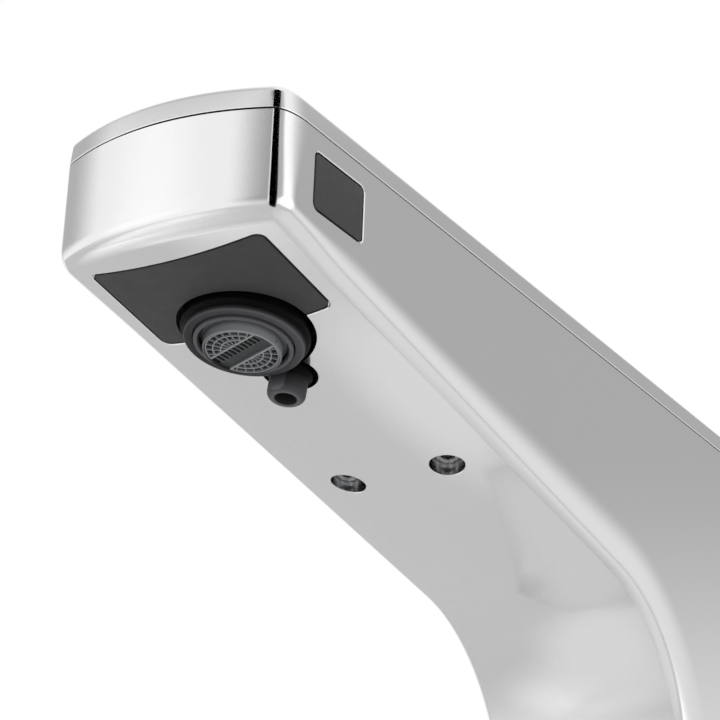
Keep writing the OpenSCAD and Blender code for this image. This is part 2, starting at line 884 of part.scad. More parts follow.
// A smooth route through points, by cubic pieces whose slopes come from the neighbours
function cubic(a, b, c, d, t) =
    0.5 * (2 * b + (c - a) * t + (2 * a - 5 * b + 4 * c - d) * t * t
        + (3 * b - a - 3 * c + d) * t * t * t);
function route(p, n) = concat(
    [
        for (i = [0:len(p) - 2])
        for (j = [0:n - 1])
        cubic(p[max(i - 1, 0)], p[i], p[i + 1], p[min(i + 2, len(p) - 1)], j / n)
    ],
    [p[len(p) - 1]]
);
function unit(v) = v / norm(v);
function heading(p, i) = unit(p[min(i + 1, len(p) - 1)] - p[max(i - 1, 0)]);
// Ring of points round the route at step i, square to it
function ring(p, i, r, sides, ref) =
    let (
        t = heading(p, i),
        a = unit(cross(t, ref)),
        b = cross(t, a)
    )
    [for (j = [0:sides - 1]) p[i] + r * (cos(360 * j / sides) * a + sin(360 * j / sides) * b)];

module rod_along(p, r, sides, ref) {
    stack([for (i = [0:len(p) - 1]) ring(p, i, r, sides, ref)]);
}
module pipe_along(p, r_out, r_in, sides, ref) {
    n = len(p);
    m = n * sides;
    points = concat(
        [for (i = [0:n - 1]) each ring(p, i, r_out, sides, ref)],
        [for (i = [0:n - 1]) each ring(p, i, r_in, sides, ref)]
    );
    outer = [
        for (i = [0:n - 2])
        for (j = [0:sides - 1])
        let (a = i * sides + j, b = i * sides + (j + 1) % sides)
        each [[a, b + sides, b], [a, a + sides, b + sides]]
    ];
    inner = [for (f = outer) [f[0] + m, f[2] + m, f[1] + m]];
    ends = [
        for (i = [0, n - 1])
        for (j = [0:sides - 1])
        let (a = i * sides + j, b = i * sides + (j + 1) % sides, q = [a, b, b + m, a + m])
        i == 0 ? q : [q[3], q[2], q[1], q[0]]
    ];
    polyhedron(points = points, faces = concat(outer, inner, ends), convexity = 8);
}

// Valve in the column
valve_x = 1;
valve_y = 5.5;
valve_z = foot_top + 17;
valve_w = 25;
valve_h = 18;
valve_top = valve_z + valve_h;
spout_h = 30;
out_x = -6;
out_y = -13.5;
in_x = -4;

// Heights in the column above the valve, and places along the spout, as shares
function up(t) = mix(valve_z + 41, seam_h, t);
function along(x, t, z) = from_outlet([x, reach * t, z]);
end_gap = 0.02;

water_route = concat(
    [for (y = [0, 5, 10]) from_outlet([spigot_x, tube_end_y + y, spigot_z])],
    [along(-1.4, 0.26, spigot_z), along(-1.4, 0.425, spigot_z)],
    [along(out_x, 0.66, spigot_z + 1), along(out_x, 0.81, spigot_z - 2)],
    [[out_x, -22, up(0.243)], [out_x, out_y - 1.5, up(0.122)]],
    [for (z = [41, 32, 18]) [out_x, out_y, valve_z + z]]
);
module water_tube() {
    color("#e6e6e0")
    pipe_along(route(water_route, 3), water_r, water_bore_r, 12, [1, 0, 0]);
}

soap_x = 6.3;
soap_y = -3.8;
soap_route = concat(
    [for (z = [-0.9, 2.2, 5.3]) from_outlet([barb_x, barb_y, barb_z + z])],
    [from_outlet([barb_x, barb_y + 2, 17.6]), from_outlet([barb_x, barb_y + 9, 20])],
    [along(2, 0.305, 19), along(2, 0.425, 17.6), along(8, 0.61, 17.6), along(11, 0.79, 12)],
    [[12, -20, up(0.27)], [12, -13, up(0.108)]],
    [[12, -12, valve_z + 35], [12, -12, valve_z + 13], [12, -12.4, valve_z + 5]],
    [[10.4, -10.4, valve_z - 1.7], [7, -5, foot_top + 10.4]],
    [for (z = [6.4, 2.3]) [soap_x, soap_y, foot_top + z]]
);
module soap_tube() {
    color("#dcdccf")
    pipe_along(route(soap_route, 3), soap_r, soap_bore_r, 10, [1, 0, 0]);
}

board_top = seat_z + block_h + board_t;
module_mid = module_top - module_h / 2;
sensor_route = concat(
    [for (z = [end_gap, 2, 4]) from_outlet([-8, led_y, board_top + z])],
    [from_outlet([-7, -10, 17]), from_outlet([-4, 6, 20]), along(-3, 0.235, 25)],
    [for (y = [8, 4, end_gap]) [-3, module_y[0] - y, module_mid - 1]]
);
module sensor_lead() {
    color("#18181a")
    rod_along(route(sensor_route, 3), lead_r, 8, [1, 0, 0]);
}

side_x = half_w + side_base - board_t;
side_route = concat(
    [for (x = [end_gap, 1.5, 3]) [side_x - x, window_y + 4, window_z]],
    [[side_x - 6, window_y + 12, window_z], [8, window_y + 30, window_z]],
    [for (y = [12, 4, end_gap]) [5, module_y[0] - y, module_mid + 1]]
);
module side_lead() {
    color("#18181a")
    rod_along(route(side_route, 3), lead_r * 0.8, 8, [0, 0, 1]);
}

grommet_y = 3.8;
grommet_r = 2.6;
power_route = concat(
    [for (y = [end_gap, 3, 6]) [6, module_y[1] + y, module_mid - 1]],
    [[10, mix(module_y[1], -6, 0.63), up(0.676)], [16.5, -6, up(0.324)], [17, 2, up(0.054)]],
    [[18, 5, valve_z + 21], [18, 7, valve_z + 6], [15.5, 7.5, valve_z - 3], [10, 6, valve_z - 7.5]],
    [for (z = [5.4, 3.4, 1 + end_gap]) [soap_x, grommet_y, foot_top + z]]
);
module power_lead() {
    color("#18181a")
    rod_along(route(power_route, 3), lead_r, 8, [1, 0, 0]);
}

socket_r = 5;
module valve_body() {
    color("#e9e7de")
    difference() {
        union() {
            translate([valve_x - valve_w / 2, valve_y - valve_w / 2, valve_z])
            cube([valve_w, valve_w, valve_h]);
            translate([-11, -18.6, valve_z])
            cube([13, 16, 10]);
            translate([out_x, out_y, valve_z])
            cylinder(r = water_bore_r - spigot_slack, h = spout_h);
        }
        // Socket of the inlet
        translate([in_x, 0, valve_z - 1])
        cylinder(r = socket_r + fit, h = 7);
        // Chamber under the diaphragm
        translate([valve_x, valve_y, valve_top - 4])
        cylinder(r = 8.5, h = 5);
        // Bore of the outlet
        translate([out_x, out_y, valve_z + 4])
        cylinder(r = spigot_bore_r, h = spout_h);
    }
}

membrane_t = 1.4;
bonnet_z = valve_top + membrane_t;
module diaphragm() {
    color("#141415")
    translate([valve_x, valve_y, valve_top])
    difference() {
        cylinder(r = 10.4, h = membrane_t);
        translate([0, 0, -1])
        cylinder(r = 0.8, h = membrane_t + 2);
    }
}

guide_r = plunger_r + plunger_play;
guide_t = 0.9;
plunger_l = 14;
guide_l = plunger_l + plunger_travel + 1;
cap_t = 5;
flange_h = 3;
module valve_bonnet() {
    color("#c4c6c9")
    translate([valve_x, valve_y, bonnet_z])
    difference() {
        union() {
            translate([-valve_w / 2, -valve_w / 2, 0])
            cube([valve_w, valve_w, flange_h]);
            cylinder(r = guide_r + guide_t, h = guide_l + cap_t);
        }
        translate([0, 0, -1])
        cylinder(r = guide_r, h = guide_l + 1);
    }
}
bonnet_screw = 10.2;
module bonnet_screws() {
    color("#b9bcc0")
    for (x = [-1, 1], y = [-1, 1])
        translate([valve_x + x * bonnet_screw, valve_y + y * bonnet_screw, bonnet_z + flange_h])
        cylinder(r = 1.9, h = 1.4);
}
module solenoid_coil() {
    color("#1f2a44")
    translate([valve_x, valve_y, bonnet_z + flange_h + 1.6])
    difference() {
        cylinder(r = coil_r - 1.6, h = coil_h - 2);
        translate([0, 0, -1])
        cylinder(r = guide_r + guide_t + fit, h = coil_h + 2);
    }
}
plunger_z = bonnet_z + 0.3;
cup_d = 5;
module solenoid_plunger() {
    color("#a9adb2")
    translate([valve_x, valve_y, plunger_z])
    difference() {
        cylinder(r = plunger_r, h = plunger_l);
        translate([0, 0, plunger_l - cup_d])
        cylinder(r = 2.6, h = cup_d + 1);
    }
}

// Points of a coil spring that stands on z from 0 to h
function coil_route(r, h, turns, steps) = [
    for (i = [0:turns * steps])
    let (a = 360 * i / steps)
    [r * cos(a), r * sin(a), h * i / (turns * steps)]
];
module spring(r, h, turns, wire) {
    rod_along(coil_route(r, h - 2 * wire, turns, 10), wire, 6, [0, 0, 1]);
}
spring_z = plunger_z + plunger_l - cup_d;
spring_h = bonnet_z + guide_l - spring_z;
module plunger_spring() {
    color("#c9ccd0")
    translate([valve_x, valve_y, spring_z + 0.35])
    spring(2, spring_h - 0.04, 5, 0.3);
}

port_r = 4.5;
port_bottom = -8;
port_top = 0;
seat_hole_r = 2.4;
chamber_r = 4.2;
poppet_z = foot_top - 4;
poppet_h = 2.2;
check_spring_h = 7.8 + poppet_travel;
chamber_l = poppet_h + check_spring_h + 0.5;
inlet_r = 6.2;
inlet_flange = 7.4;
module inlet_body() {
    color("#c9a45c")
    translate([in_x, 0, 0])
    difference() {
        union() {
            translate([0, 0, port_bottom])
            cylinder(r = inlet_r, h = valve_z - 0.05 - port_bottom);
            translate([0, 0, foot_top])
            cylinder(r = inlet_flange, h = 2.5);
            cylinder(r = socket_r, h = valve_z + 5.8);
        }
        translate([0, 0, port_bottom - 1])
        cylinder(r = port_r, h = port_top - port_bottom + 1);
        translate([0, 0, port_top - 1])
        cylinder(r = 3.8, h = 2.6);
        translate([0, 0, port_top])
        cylinder(r = seat_hole_r, h = 6);
        translate([0, 0, poppet_z])
        cylinder(r = chamber_r, h = chamber_l);
        translate([0, 0, poppet_z + chamber_l - 1])
        cylinder(r = 2.6, h = 30);
    }
}
module inlet_filter() {
    color("#9a9da0")
    translate([in_x, 0, port_top + 0.35])
    linear_extrude(1.2)
    difference() {
        circle(r = 3.75);
        for (q = [[0, 1], [2.2, 6]])
            for (i = [0:q[1] - 1])
                rotate(i * 360 / q[1])
                translate([q[0], 0])
                circle(r = 0.7, $fn = 16);
    }
}
module check_poppet() {
    color("#1c4f86")
    translate([in_x, 0, poppet_z + 0.02]) {
        cylinder(r = poppet_r, h = poppet_h);
        cylinder(r = 1.4, h = 6);
    }
}
module check_spring() {
    color("#c9ccd0")
    translate([in_x, 0, poppet_z + poppet_h + 0.4])
    spring(2.6, check_spring_h, 5, 0.3);
}

soap_tail_r = 2.6;
module soap_inlet() {
    color("#1c1c1e")
    translate([soap_x, soap_y, 0])
    difference() {
        union() {
            translate([0, 0, -12])
            cylinder(r = soap_tail_r, h = 12);
            translate([0, 0, -2])
            cylinder(r = soap_r, h = foot_top + 2);
            translate([0, 0, foot_top])
            cylinder(r = soap_r + 0.25, h = 2);
            translate([0, 0, foot_top])
            cylinder(r = soap_bore_r - barb_slack, h = 5.8);
        }
        translate([0, 0, -13])
        cylinder(r = 1.2, h = foot_top + 30);
    }
}
module cable_grommet() {
    color("#141415")
    translate([soap_x, grommet_y, 0])
    difference() {
        union() {
            translate([0, 0, foot_z + 2])
            cylinder(r = grommet_r, h = foot_top - foot_z - 2);
            translate([0, 0, foot_top])
            cylinder(r = 3.2, h = 1);
        }
        translate([0, 0, -13])
        cylinder(r = 1.2, h = foot_top + 13.4);
    }
}

plate_play = 0.15;
shank_seat = foot_z + 3;
// Depth of the foot screws' heads in the foot plate
sunk = 2.4;
module base_plate() {
    color("#8f9296")
    difference() {
        translate([0, 0, foot_z])
        linear_extrude(foot_t)
        polygon(foot_outline(wall + plate_play));
        translate([0, 0, foot_z - 1])
        cylinder(r = shank_r + fit, h = shank_seat - foot_z + 1);
        translate([in_x, 0, 0])
        cylinder(r = inlet_r + fit, h = 30);
        translate([soap_x, soap_y, 0])
        cylinder(r = soap_r + fit, h = 30);
        translate([soap_x, grommet_y, 0])
        cylinder(r = grommet_r + fit, h = 30);
        for (x = [-1, 1])
            translate([x * lug_x, 0, 0]) {
                cylinder(r = m4_r + 0.2, h = 30);
                cylinder(r = head_r + 0.1, h = foot_z + sunk);
            }
    }
}
module base_screws() {
    color("#b9bcc0")
    for (x = [-1, 1])
        translate([x * lug_x, 0, foot_z + sunk])
        cap_screw(m4_r, 14, head_r, sunk - 0.2);
}
module base_gasket() {
    color("#161617")
    linear_extrude(foot_seal_t)
    difference() {
        polygon(foot_outline(0.5));
        circle(r = shank_r + 0.3, $fn = 96);
    }
}

module mounting_shank() {
    color("#b58f4a")
    translate([0, 0, -shank_l])
    difference() {
        cylinder(r = shank_r, h = shank_l + shank_seat);
        translate([0, 0, -1])
        cylinder(r = shank_bore_r, h = shank_l + shank_seat + 2);
    }
}
washer_r = 24;
washer_play = 0.2;
rubber_t = 3;
steel_t = 2;
nut_r = 20.8;
module rubber_washer() {
    color("#161617")
    translate([0, 0, -deck_t - rubber_t])
    difference() {
        cylinder(r = washer_r, h = rubber_t);
        translate([0, 0, -1])
        cylinder(r = shank_r + washer_play, h = rubber_t + 2);
    }
}
module clamp_washer() {
    color("#b9bcc0")
    translate([0, 0, -deck_t - rubber_t - steel_t])
    difference() {
        cylinder(r = washer_r, h = steel_t);
        translate([0, 0, -1])
        cylinder(r = shank_r + washer_play, h = steel_t + 2);
    }
}
module clamp_nut() {
    color("#c2a15a")
    translate([0, 0, -deck_t - rubber_t - steel_t - nut_h])
    difference() {
        cylinder(r = nut_r, h = nut_h, $fn = 6);
        translate([0, 0, -1])
        cylinder(r = shank_r + fit, h = nut_h + 2);
    }
}

body_shell();
top_lid();
lid_gasket();
lid_screws();
under_plate();
side_window();
outlet_housing();
aerator_ring();
aerator_core();
outlet_grid();
aerator_seal();
flow_screen();
sensor_holder();
sensor_board();
ir_pair();
side_holder();
side_board();
side_ir_pair();
control_module();
module_carrier();
carrier_screws();
sensor_lead();
side_lead();
power_lead();
water_tube();
soap_tube();
valve_body();
diaphragm();
valve_bonnet();
bonnet_screws();
solenoid_coil();
solenoid_plunger();
plunger_spring();
inlet_body();
inlet_filter();
check_poppet();
check_spring();
soap_inlet();
cable_grommet();
base_plate();
base_screws();
base_gasket();
mounting_shank();
rubber_washer();
clamp_washer();
clamp_nut();
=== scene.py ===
"""Looks of a touch-free tap with a soap nozzle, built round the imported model.

Every length is in metres. The origin is the centre of the column on the deck, +Z is up and the spout
reaches along -Y.
"""

import json
import math

import bpy
import numpy as np
from bpy.props import FloatProperty, FloatVectorProperty, IntProperty, PointerProperty
from bpy.types import NodeSocket, Operator, Panel, PropertyGroup
from mathutils import Matrix, Quaternion, Vector


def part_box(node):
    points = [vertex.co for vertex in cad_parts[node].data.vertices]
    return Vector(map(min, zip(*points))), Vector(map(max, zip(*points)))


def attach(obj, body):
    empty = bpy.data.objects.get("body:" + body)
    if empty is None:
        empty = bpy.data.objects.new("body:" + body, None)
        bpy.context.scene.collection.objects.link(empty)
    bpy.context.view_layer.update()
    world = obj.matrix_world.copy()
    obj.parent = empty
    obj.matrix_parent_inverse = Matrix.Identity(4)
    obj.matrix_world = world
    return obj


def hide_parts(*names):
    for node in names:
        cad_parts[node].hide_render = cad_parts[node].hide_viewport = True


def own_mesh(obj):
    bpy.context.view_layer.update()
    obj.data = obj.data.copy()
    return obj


bl_info = {
    "name": "Sensor tap",
    "version": (1, 0, 0),
    "blender": (4, 5, 0),
    "location": "View3D > Sidebar > Tap",
    "description": "Builds the surfaces and finishes of a touch-free tap round its packed frame",
    "category": "Object",
}

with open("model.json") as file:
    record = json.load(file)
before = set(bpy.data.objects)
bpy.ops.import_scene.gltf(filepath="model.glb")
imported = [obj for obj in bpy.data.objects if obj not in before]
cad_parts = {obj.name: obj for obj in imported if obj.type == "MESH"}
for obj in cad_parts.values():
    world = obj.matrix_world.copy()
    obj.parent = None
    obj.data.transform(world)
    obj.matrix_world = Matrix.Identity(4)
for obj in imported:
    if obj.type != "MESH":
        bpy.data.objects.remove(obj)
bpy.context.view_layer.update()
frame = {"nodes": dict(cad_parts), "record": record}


# Sizes and colours


def length(name, description, default):
    """A length in metres that a user may change."""
    return FloatProperty(
        name=name,
        description=description,
        default=default,
        precision=5,
        subtype="DISTANCE",
        unit="LENGTH",
    )


def angle(name, description, degrees):
    """An angle that a user may change."""
    return FloatProperty(
        name=name,
        description=description,
        default=math.radians(degrees),
        subtype="ANGLE",
        unit="ROTATION",
    )


def ratio(name, description, default):
    """A ratio that a user may change."""
    return FloatProperty(name=name, description=description, default=default)


def colour(name, description, *default):
    """A linear colour that a user may change."""
    return FloatVectorProperty(
        name=name,
        description=description,
        default=default,
        min=0,
        max=1,
        subtype="COLOR",
    )


class CastingSizes(PropertyGroup):
    """Sizes of the casting and its lid."""

    width: length("Width", "Width of the spout and the column", 0.054)
    seam_height: length("Seam height", "Height of the lid seam above the deck", 0.140)
    reach: length("Reach", "From the column's centre to the outlet's centre", 0.170)
    column_depth: length("Column depth", "Depth of the column, front to rear", 0.045)
    outlet_back: length("Outlet back", "From the front of the spout back to the outlet's centre", 0.0347)
    front_height: length("Front height", "Height of the front face under the seam", 0.0234)
    fall: angle("Fall", "Fall of the underside towards the column", 10.1)
    wall: length("Wall", "Wall of the casting", 0.003)
    bend_radius: length("Bend radius", "Radius of the bend into the column", 0.042)
    nose_radius: length("Nose radius", "Radius between the front face and the underside", 0.0046)
    nose_edge: length("Nose edge", "Radius of the side edges where the nose ends", 0.0044)
    nose_run: length("Nose run", "Length behind the nose over which its bow fades", 0.030)
    side_radius: length("Side radius", "Radius of the lower side edges", 0.005)
    corner_radius: length("Corner radius", "Radius of the upright edges at the front", 0.0042)
    rear_radius: length("Rear radius", "Radius of the upright edges at the rear", 0.008)
    front_bow: length("Front bow", "Plan radius of the bowed front face", 0.057)
    rear_bow: length("Rear bow", "Plan radius of the bowed rear face", 0.090)
    crown: length("Crown", "Radius across the crowned underside", 0.130)
    crease: angle("Crease", "Angle of the crease beside the crowned underside", 20)
    groove: length("Groove", "Depth of the fine groove along the crease", 0.00002)
    run_out: ratio("Run-out", "How softly the edges run out on the sides", 3.0)
    spread: ratio("Spread", "How much more they run out at the column", 0.6)
    foot: length("Foot", "Height of the foot above the deck, on its seal", 0.0015)
    lid_height: length("Lid height", "Height of the lid's edge with its rounding", 0.0053)
    lid_radius: length("Lid radius", "Radius of the lid's upper edge", 0.0015)
    lid_rise: length("Lid rise", "Rise of the lid's crowned top", 0.0004)
    lid_slope: length("Lid slope", "Width of the band over which the lid's top rises", 0.012)
    lid_lean: ratio("Lid lean", "How much the lid's edge leans back", 0.11)
    seam: length("Seam", "Height of the seam between lid and casting", 0.0004)


class OpeningSizes(PropertyGroup):
    """Sizes of the windows, the outlet's opening and the deep screw holes."""

    plate_width: length("Plate width", "Width of the smoked plate", 0.0396)
    plate_length: length("Plate length", "Length of the smoked plate", 0.0254)
    plate_back: length("Plate back", "From the front of the spout back to the plate", 0.0095)
    plate_thickness: length("Plate thickness", "Thickness of the plate and the window", 0.0016)
    plate_corner: length("Plate corner", "Corner radius of the plate", 0.0016)
    gap: length("Gap", "Gap all round the plate and the window", 0.00045)
    window_length: length("Window length", "Length of the side window", 0.017)
    window_height: length("Window height", "Height of the side window", 0.0117)
    window_back: length("Window back", "From the front of the spout back to the window", 0.0169)
    window_down: length("Window down", "From the seam down to the window", 0.0046)
    window_corner: length("Window corner", "Corner radius of the window", 0.0011)
    screw_back: length("Screw back", "From the front of the spout back to the screws", 0.0935)
    screw_side: length("Screw side", "Half the distance between the two screws", 0.0124)
    screw_hole: length("Screw hole", "Radius of the deep screw holes", 0.0039)
    screw_depth: length("Screw depth", "Depth of the screw holes to their shelf", 0.009)
    lip: length("Lip", "Width of the broken edge round the holes", 0.00018)


class OutletSizes(PropertyGroup):
    """Sizes of the water outlet and the soap nozzle."""

    rim: length("Rim", "Radius of the holder's rim", 0.0122)
    collar: length("Collar", "Radius of the holder's collar", 0.0131)
    flange: length("Flange", "Radius of the holder's flange behind the wall", 0.016)
    rim_out: length("Rim out", "How far the rim stands out of the underside", 0.0028)
    depth: length("Depth", "Depth of the holder inside the spout", 0.013)
    thread: length("Thread", "Radius of the outlet's thread", 0.0102)
    face_out: length("Face out", "How far the ring stands out of the rim", 0.0006)
    core_out: length("Core out", "How far the core stands out of the ring", 0.0016)
    ball: length("Ball", "Radius of the ball that the outlet turns on", 0.0092)
    ball_height: length("Ball height", "Height of the ball's centre over the underside", 0.0005)
    lip: length("Lip", "Radius of the ring's opening under the ball", 0.0088)
    web: length("Web", "Radius of the web", 0.0075)
    nozzle_back: length("Nozzle back", "From the outlet's centre back to the soap nozzle", 0.0164)
    nozzle: length("Nozzle", "Radius of the soap nozzle", 0.004)
    nozzle_wall: length("Nozzle wall", "How much wider the nozzle's foot is", 0.0008)
    nozzle_out: length("Nozzle out", "How far the nozzle stands out of the underside", 0.006)
    nozzle_bore: length("Nozzle bore", "Radius of the nozzle's bore", 0.0023)
    neck: length("Neck", "Half the width of the neck between outlet and nozzle", 0.003)
    pin: length("Pin", "Radius of the two pins that the core turns on", 0.0012)
    bar: length("Bar", "Width of the web's bars", 0.00024)
    rib_gap: length("Rib gap", "Distance between the web's two straight ribs", 0.005)
    rib_turn: angle("Rib turn", "Turn of the web's ribs", 18)
    spokes: IntProperty(name="Spokes", description="Spokes of the web", default=24)
    teeth: IntProperty(name="Teeth", description="Teeth of the comb between the ribs", default=11)


class ClampSizes(PropertyGroup):
    """Sizes of the shank and the clamp under the deck."""

    shank: length("Shank", "Radius of the threaded shank", 0.014)
    bore: length("Bore", "Radius of the shank's bore", 0.011)
    shank_length: length("Shank length", "Length of the shank under the deck", 0.060)
    shank_head: length("Shank head", "Length of the shank inside the foot", 0.003)
    pitch: length("Pitch", "Pitch of the shank's thread", 0.0015)
    deck: length("Deck", "Thickness of the deck that the tap is clamped to", 0.030)
    nut: length("Nut", "Height of the clamping nut", 0.008)
    nut_corner: length("Nut corner", "From the nut's centre to its corners", 0.0208)
    nut_face: length("Nut face", "Radius of the nut's flat faces", 0.0184)
    washer: length("Washer", "Radius of the washers", 0.024)


class Finishes(PropertyGroup):
    """Colours of the finishes."""

    chrome: colour("Chrome", "Polished plating", 0.85, 0.85, 0.852)
    smoked_plastic: colour("Smoked plastic", "Plate and window", 0.050, 0.050, 0.052)
    black_plastic: colour("Black plastic", "Outlet holder and nozzle", 0.016, 0.016, 0.017)
    grey_plastic: colour("Grey plastic", "Core and web of the outlet", 0.16, 0.165, 0.17)
    pale_plastic: colour("Pale plastic", "Valve, carrier and tubes", 0.70, 0.69, 0.64)
    rubber: colour("Rubber", "Seals and leads", 0.015, 0.015, 0.016)
    steel: colour("Steel", "Screws, springs and washer", 0.56, 0.57, 0.58)
    coil: colour("Coil", "Varnished winding", 0.020, 0.035, 0.090)
    board: colour("Board", "Sensor boards", 0.020, 0.130, 0.060)
    infrared: colour("Infrared", "Emitter and receiver", 0.030, 0.012, 0.045)
    brass: colour("Brass", "Shank, nut and inlet", 0.70, 0.50, 0.24)
    cast_foot: colour("Cast foot", "Foot plate", 0.30, 0.31, 0.33)


class Studio(PropertyGroup):
    """The floor, the light and the camera."""

    floor: colour("Floor", "Pale floor", 0.72, 0.72, 0.72)
    floor_size: length("Floor size", "Half the width of the floor", 2.5)
    shade: ratio("Shade", "Share of the surround's light on matt faces", 0.85)
    lens: FloatProperty(
        name="Lens",
        description="Focal length for a 36 mm sensor",
        default=122.47,
        unit="CAMERA",
    )
    azimuth: angle("Azimuth", "Turn of the camera from the front towards +X", 32.772)
    elevation: angle("Elevation", "How far the camera looks up", 23.761)
    roll: angle("Roll", "Roll of the camera", 2.284)
    place: FloatVectorProperty(
        name="Place",
        description="Camera's place",
        default=(0.258716, -0.529657, -0.089385),
        subtype="TRANSLATION",
    )


# Radius of a broken edge
BREAK = 0.0003
# Play between two faces that meet
PLAY = 0.0001
# Keeps a face out of another one's plane, and a profile off its axis
OFF = 0.00001


def groups(context, *names):
    """The scene's groups of sizes with those names."""
    return [getattr(context.scene, "tap_" + name) for name in names]


# Shapes: each function gives (points, faces)


def stacked(*values):
    """Numbers, rows or grids side by side, as coordinates of points."""
    return np.stack(np.broadcast_arrays(*values), -1)


def ramp(value, start, end):
    """0 at the start, 1 at the end, and straight between them."""
    return np.clip((value - start) / (end - start), 0, 1)


def eased(t):
    """A step from 0 to 1 with level ends: three squares less two cubes."""
    return t * t * (3 - 2 * t)


def quads(rows, columns, wrap_rows=False):
    """Faces of a grid of points whose rows are rings, and whose last row joins the first where it wraps."""
    i = np.arange(rows if wrap_rows else rows - 1)[:, None]
    j = np.arange(columns)[None, :]
    a, b = i * columns + j, i * columns + (j + 1) % columns
    up = columns * ((i + 1) % rows)
    return np.stack([a, b, up + (j + 1) % columns, up + j], -1).reshape(-1, 4).tolist()


def looped(rings):
    """A closed surface through rings of as many points each, the last joined to the first."""
    rings = np.asarray(rings)
    return rings.reshape(-1, 3), quads(*rings.shape[:2], wrap_rows=True)


def drawn(rings):
    """A closed surface through rings of as many points each, with a flat face at both ends."""
    rings = np.asarray(rings)
    count, n = rings.shape[:2]
    last = (count - 1) * n
    return rings.reshape(-1, 3), quads(count, n) + [list(range(n))[::-1], list(range(last, last + n))]


def slab(levels):
    """A closed solid through levels (front, rear) of two point rows each: walls between the levels, and
    strips between the two rows of the first and the last level as its ends."""
    n = len(levels[0][0])
    loops = np.array([np.concatenate([front, rear[::-1]]) for front, rear in levels])
    k = np.arange(n - 1)
    strip = np.stack([k, 2 * n - 1 - k, 2 * n - 2 - k, k + 1], -1)
    last = (len(loops) - 1) * 2 * n
    faces = quads(len(loops), 2 * n) + strip.tolist() + (strip[:, ::-1] + last).tolist()
    return loops.reshape(-1, 3), faces


def joined(*shapes):
    """Several shapes as one: their points follow one another and the faces count on."""
    points, faces, start = [], [], 0
    for p, f in shapes:
        points.append(p)
        faces += [[k + start for k in face] for face in f]
        start += len(p)
    return np.concatenate(points), faces


def placed(shape, matrix):
    """The shape turned and moved by a matrix."""
    m = np.array(matrix)
    return shape[0] @ m[:3, :3].T + m[:3, 3], shape[1]


def moved(shape, x=0.0, y=0.0, z=0.0):
    """The shape moved along the axes."""
    return placed(shape, Matrix.Translation((x, y, z)))


def turned_over(shape):
    """The same shape with its faces the other way round."""
    return shape[0], [face[::-1] for face in shape[1]]


def rounded(corners, radii, steps=5):
    """A polygon in the plane whose corners are arcs: each is tangent to the two sides that meet there."""
    c = np.asarray(corners, float)
    points = []
    for before, at, after, r in zip(np.roll(c, 1, 0), c, np.roll(c, -1, 0), np.broadcast_to(radii, len(c))):
        u, v = (before - at) / np.linalg.norm(before - at), (after - at) / np.linalg.norm(after - at)
        half = math.acos(np.clip(u @ v, -1, 1)) / 2
        if r <= 0 or half > 1.55:
            points.append(at[None])
            continue
        middle = at + (u + v) / np.linalg.norm(u + v) * r / math.sin(half)
        ends = at + u * r / math.tan(half) - middle, at + v * r / math.tan(half) - middle
        t = np.linspace(0, 1, steps)[:, None]
        w = math.pi - 2 * half
        points.append(middle + (np.sin((1 - t) * w) * ends[0] + np.sin(t * w) * ends[1]) / math.sin(w))
    return np.concatenate(points)


def turns(steps):
    """Angles at even steps round a full turn."""
    return np.linspace(0, 2 * np.pi, steps, endpoint=False)


def lathe(profile, steps=96, radius_at=None):
    """A closed profile of (radius, height) turned about Z. radius_at(radius, angle) may shape each ring."""
    a = turns(steps)
    r, z = np.asarray(profile).T[..., None]
    if radius_at:
        r = radius_at(r, a)
    return looped(stacked(r * np.cos(a), r * np.sin(a), z))


def cylinder(radius, low, high, steps=96, flare=0.0):
    """A cylinder, wider by flare at its low end, with flat ends."""
    a = turns(steps)
    ends = (radius + flare, low), (radius, high)
    return drawn([stacked(r * np.cos(a), r * np.sin(a), z) for r, z in ends])


def box(low, high):
    """A box between two corners."""
    (x0, y0, z0), (x1, y1, z1) = low, high
    return drawn([[(x0, y0, z), (x1, y0, z), (x1, y1, z), (x0, y1, z)] for z in (z0, z1)])


def rod(section, start, end):
    """A section in x and z drawn along y."""
    return drawn([stacked(section[:, 0], y, section[:, 1]) for y in (start, end)])


def sag(x, r):
    """Sag of an arc of radius r at x from its middle: r minus the root of r squared less x squared."""
    return r - np.sqrt(np.maximum(r * r - x * x, 0))


def rounded_levels(width, depth, corner, levels, middle=0.0, crown=None):
    """Levels of a rounded rectangle, as (growth, height): its outline is grown by the first, and its height
    is the second and the sag of the crown. Front and rear have their points at the same places across:
    along the quarter circle of a corner, evenly to the other side, and back along its corner."""
    made = []
    for grow, height in levels:
        r, half = max(corner + grow, PLAY * 5), depth / 2 + grow
        a = np.linspace(0, np.pi / 2, 8)
        side = -width / 2 - grow + r - r * np.cos(a)
        y = half - r + r * np.sin(a)
        across = np.linspace(side[-1], -side[-1], 24)[1:-1]
        x = np.concatenate([side, across, -side[::-1]])
        y = np.concatenate([y, np.full(len(across), half), y[::-1]])
        z = height + (sag(x, crown) if crown else 0)
        made.append((stacked(x, middle - y, z), stacked(x, middle + y, z)))
    return made


# The casting's formulas


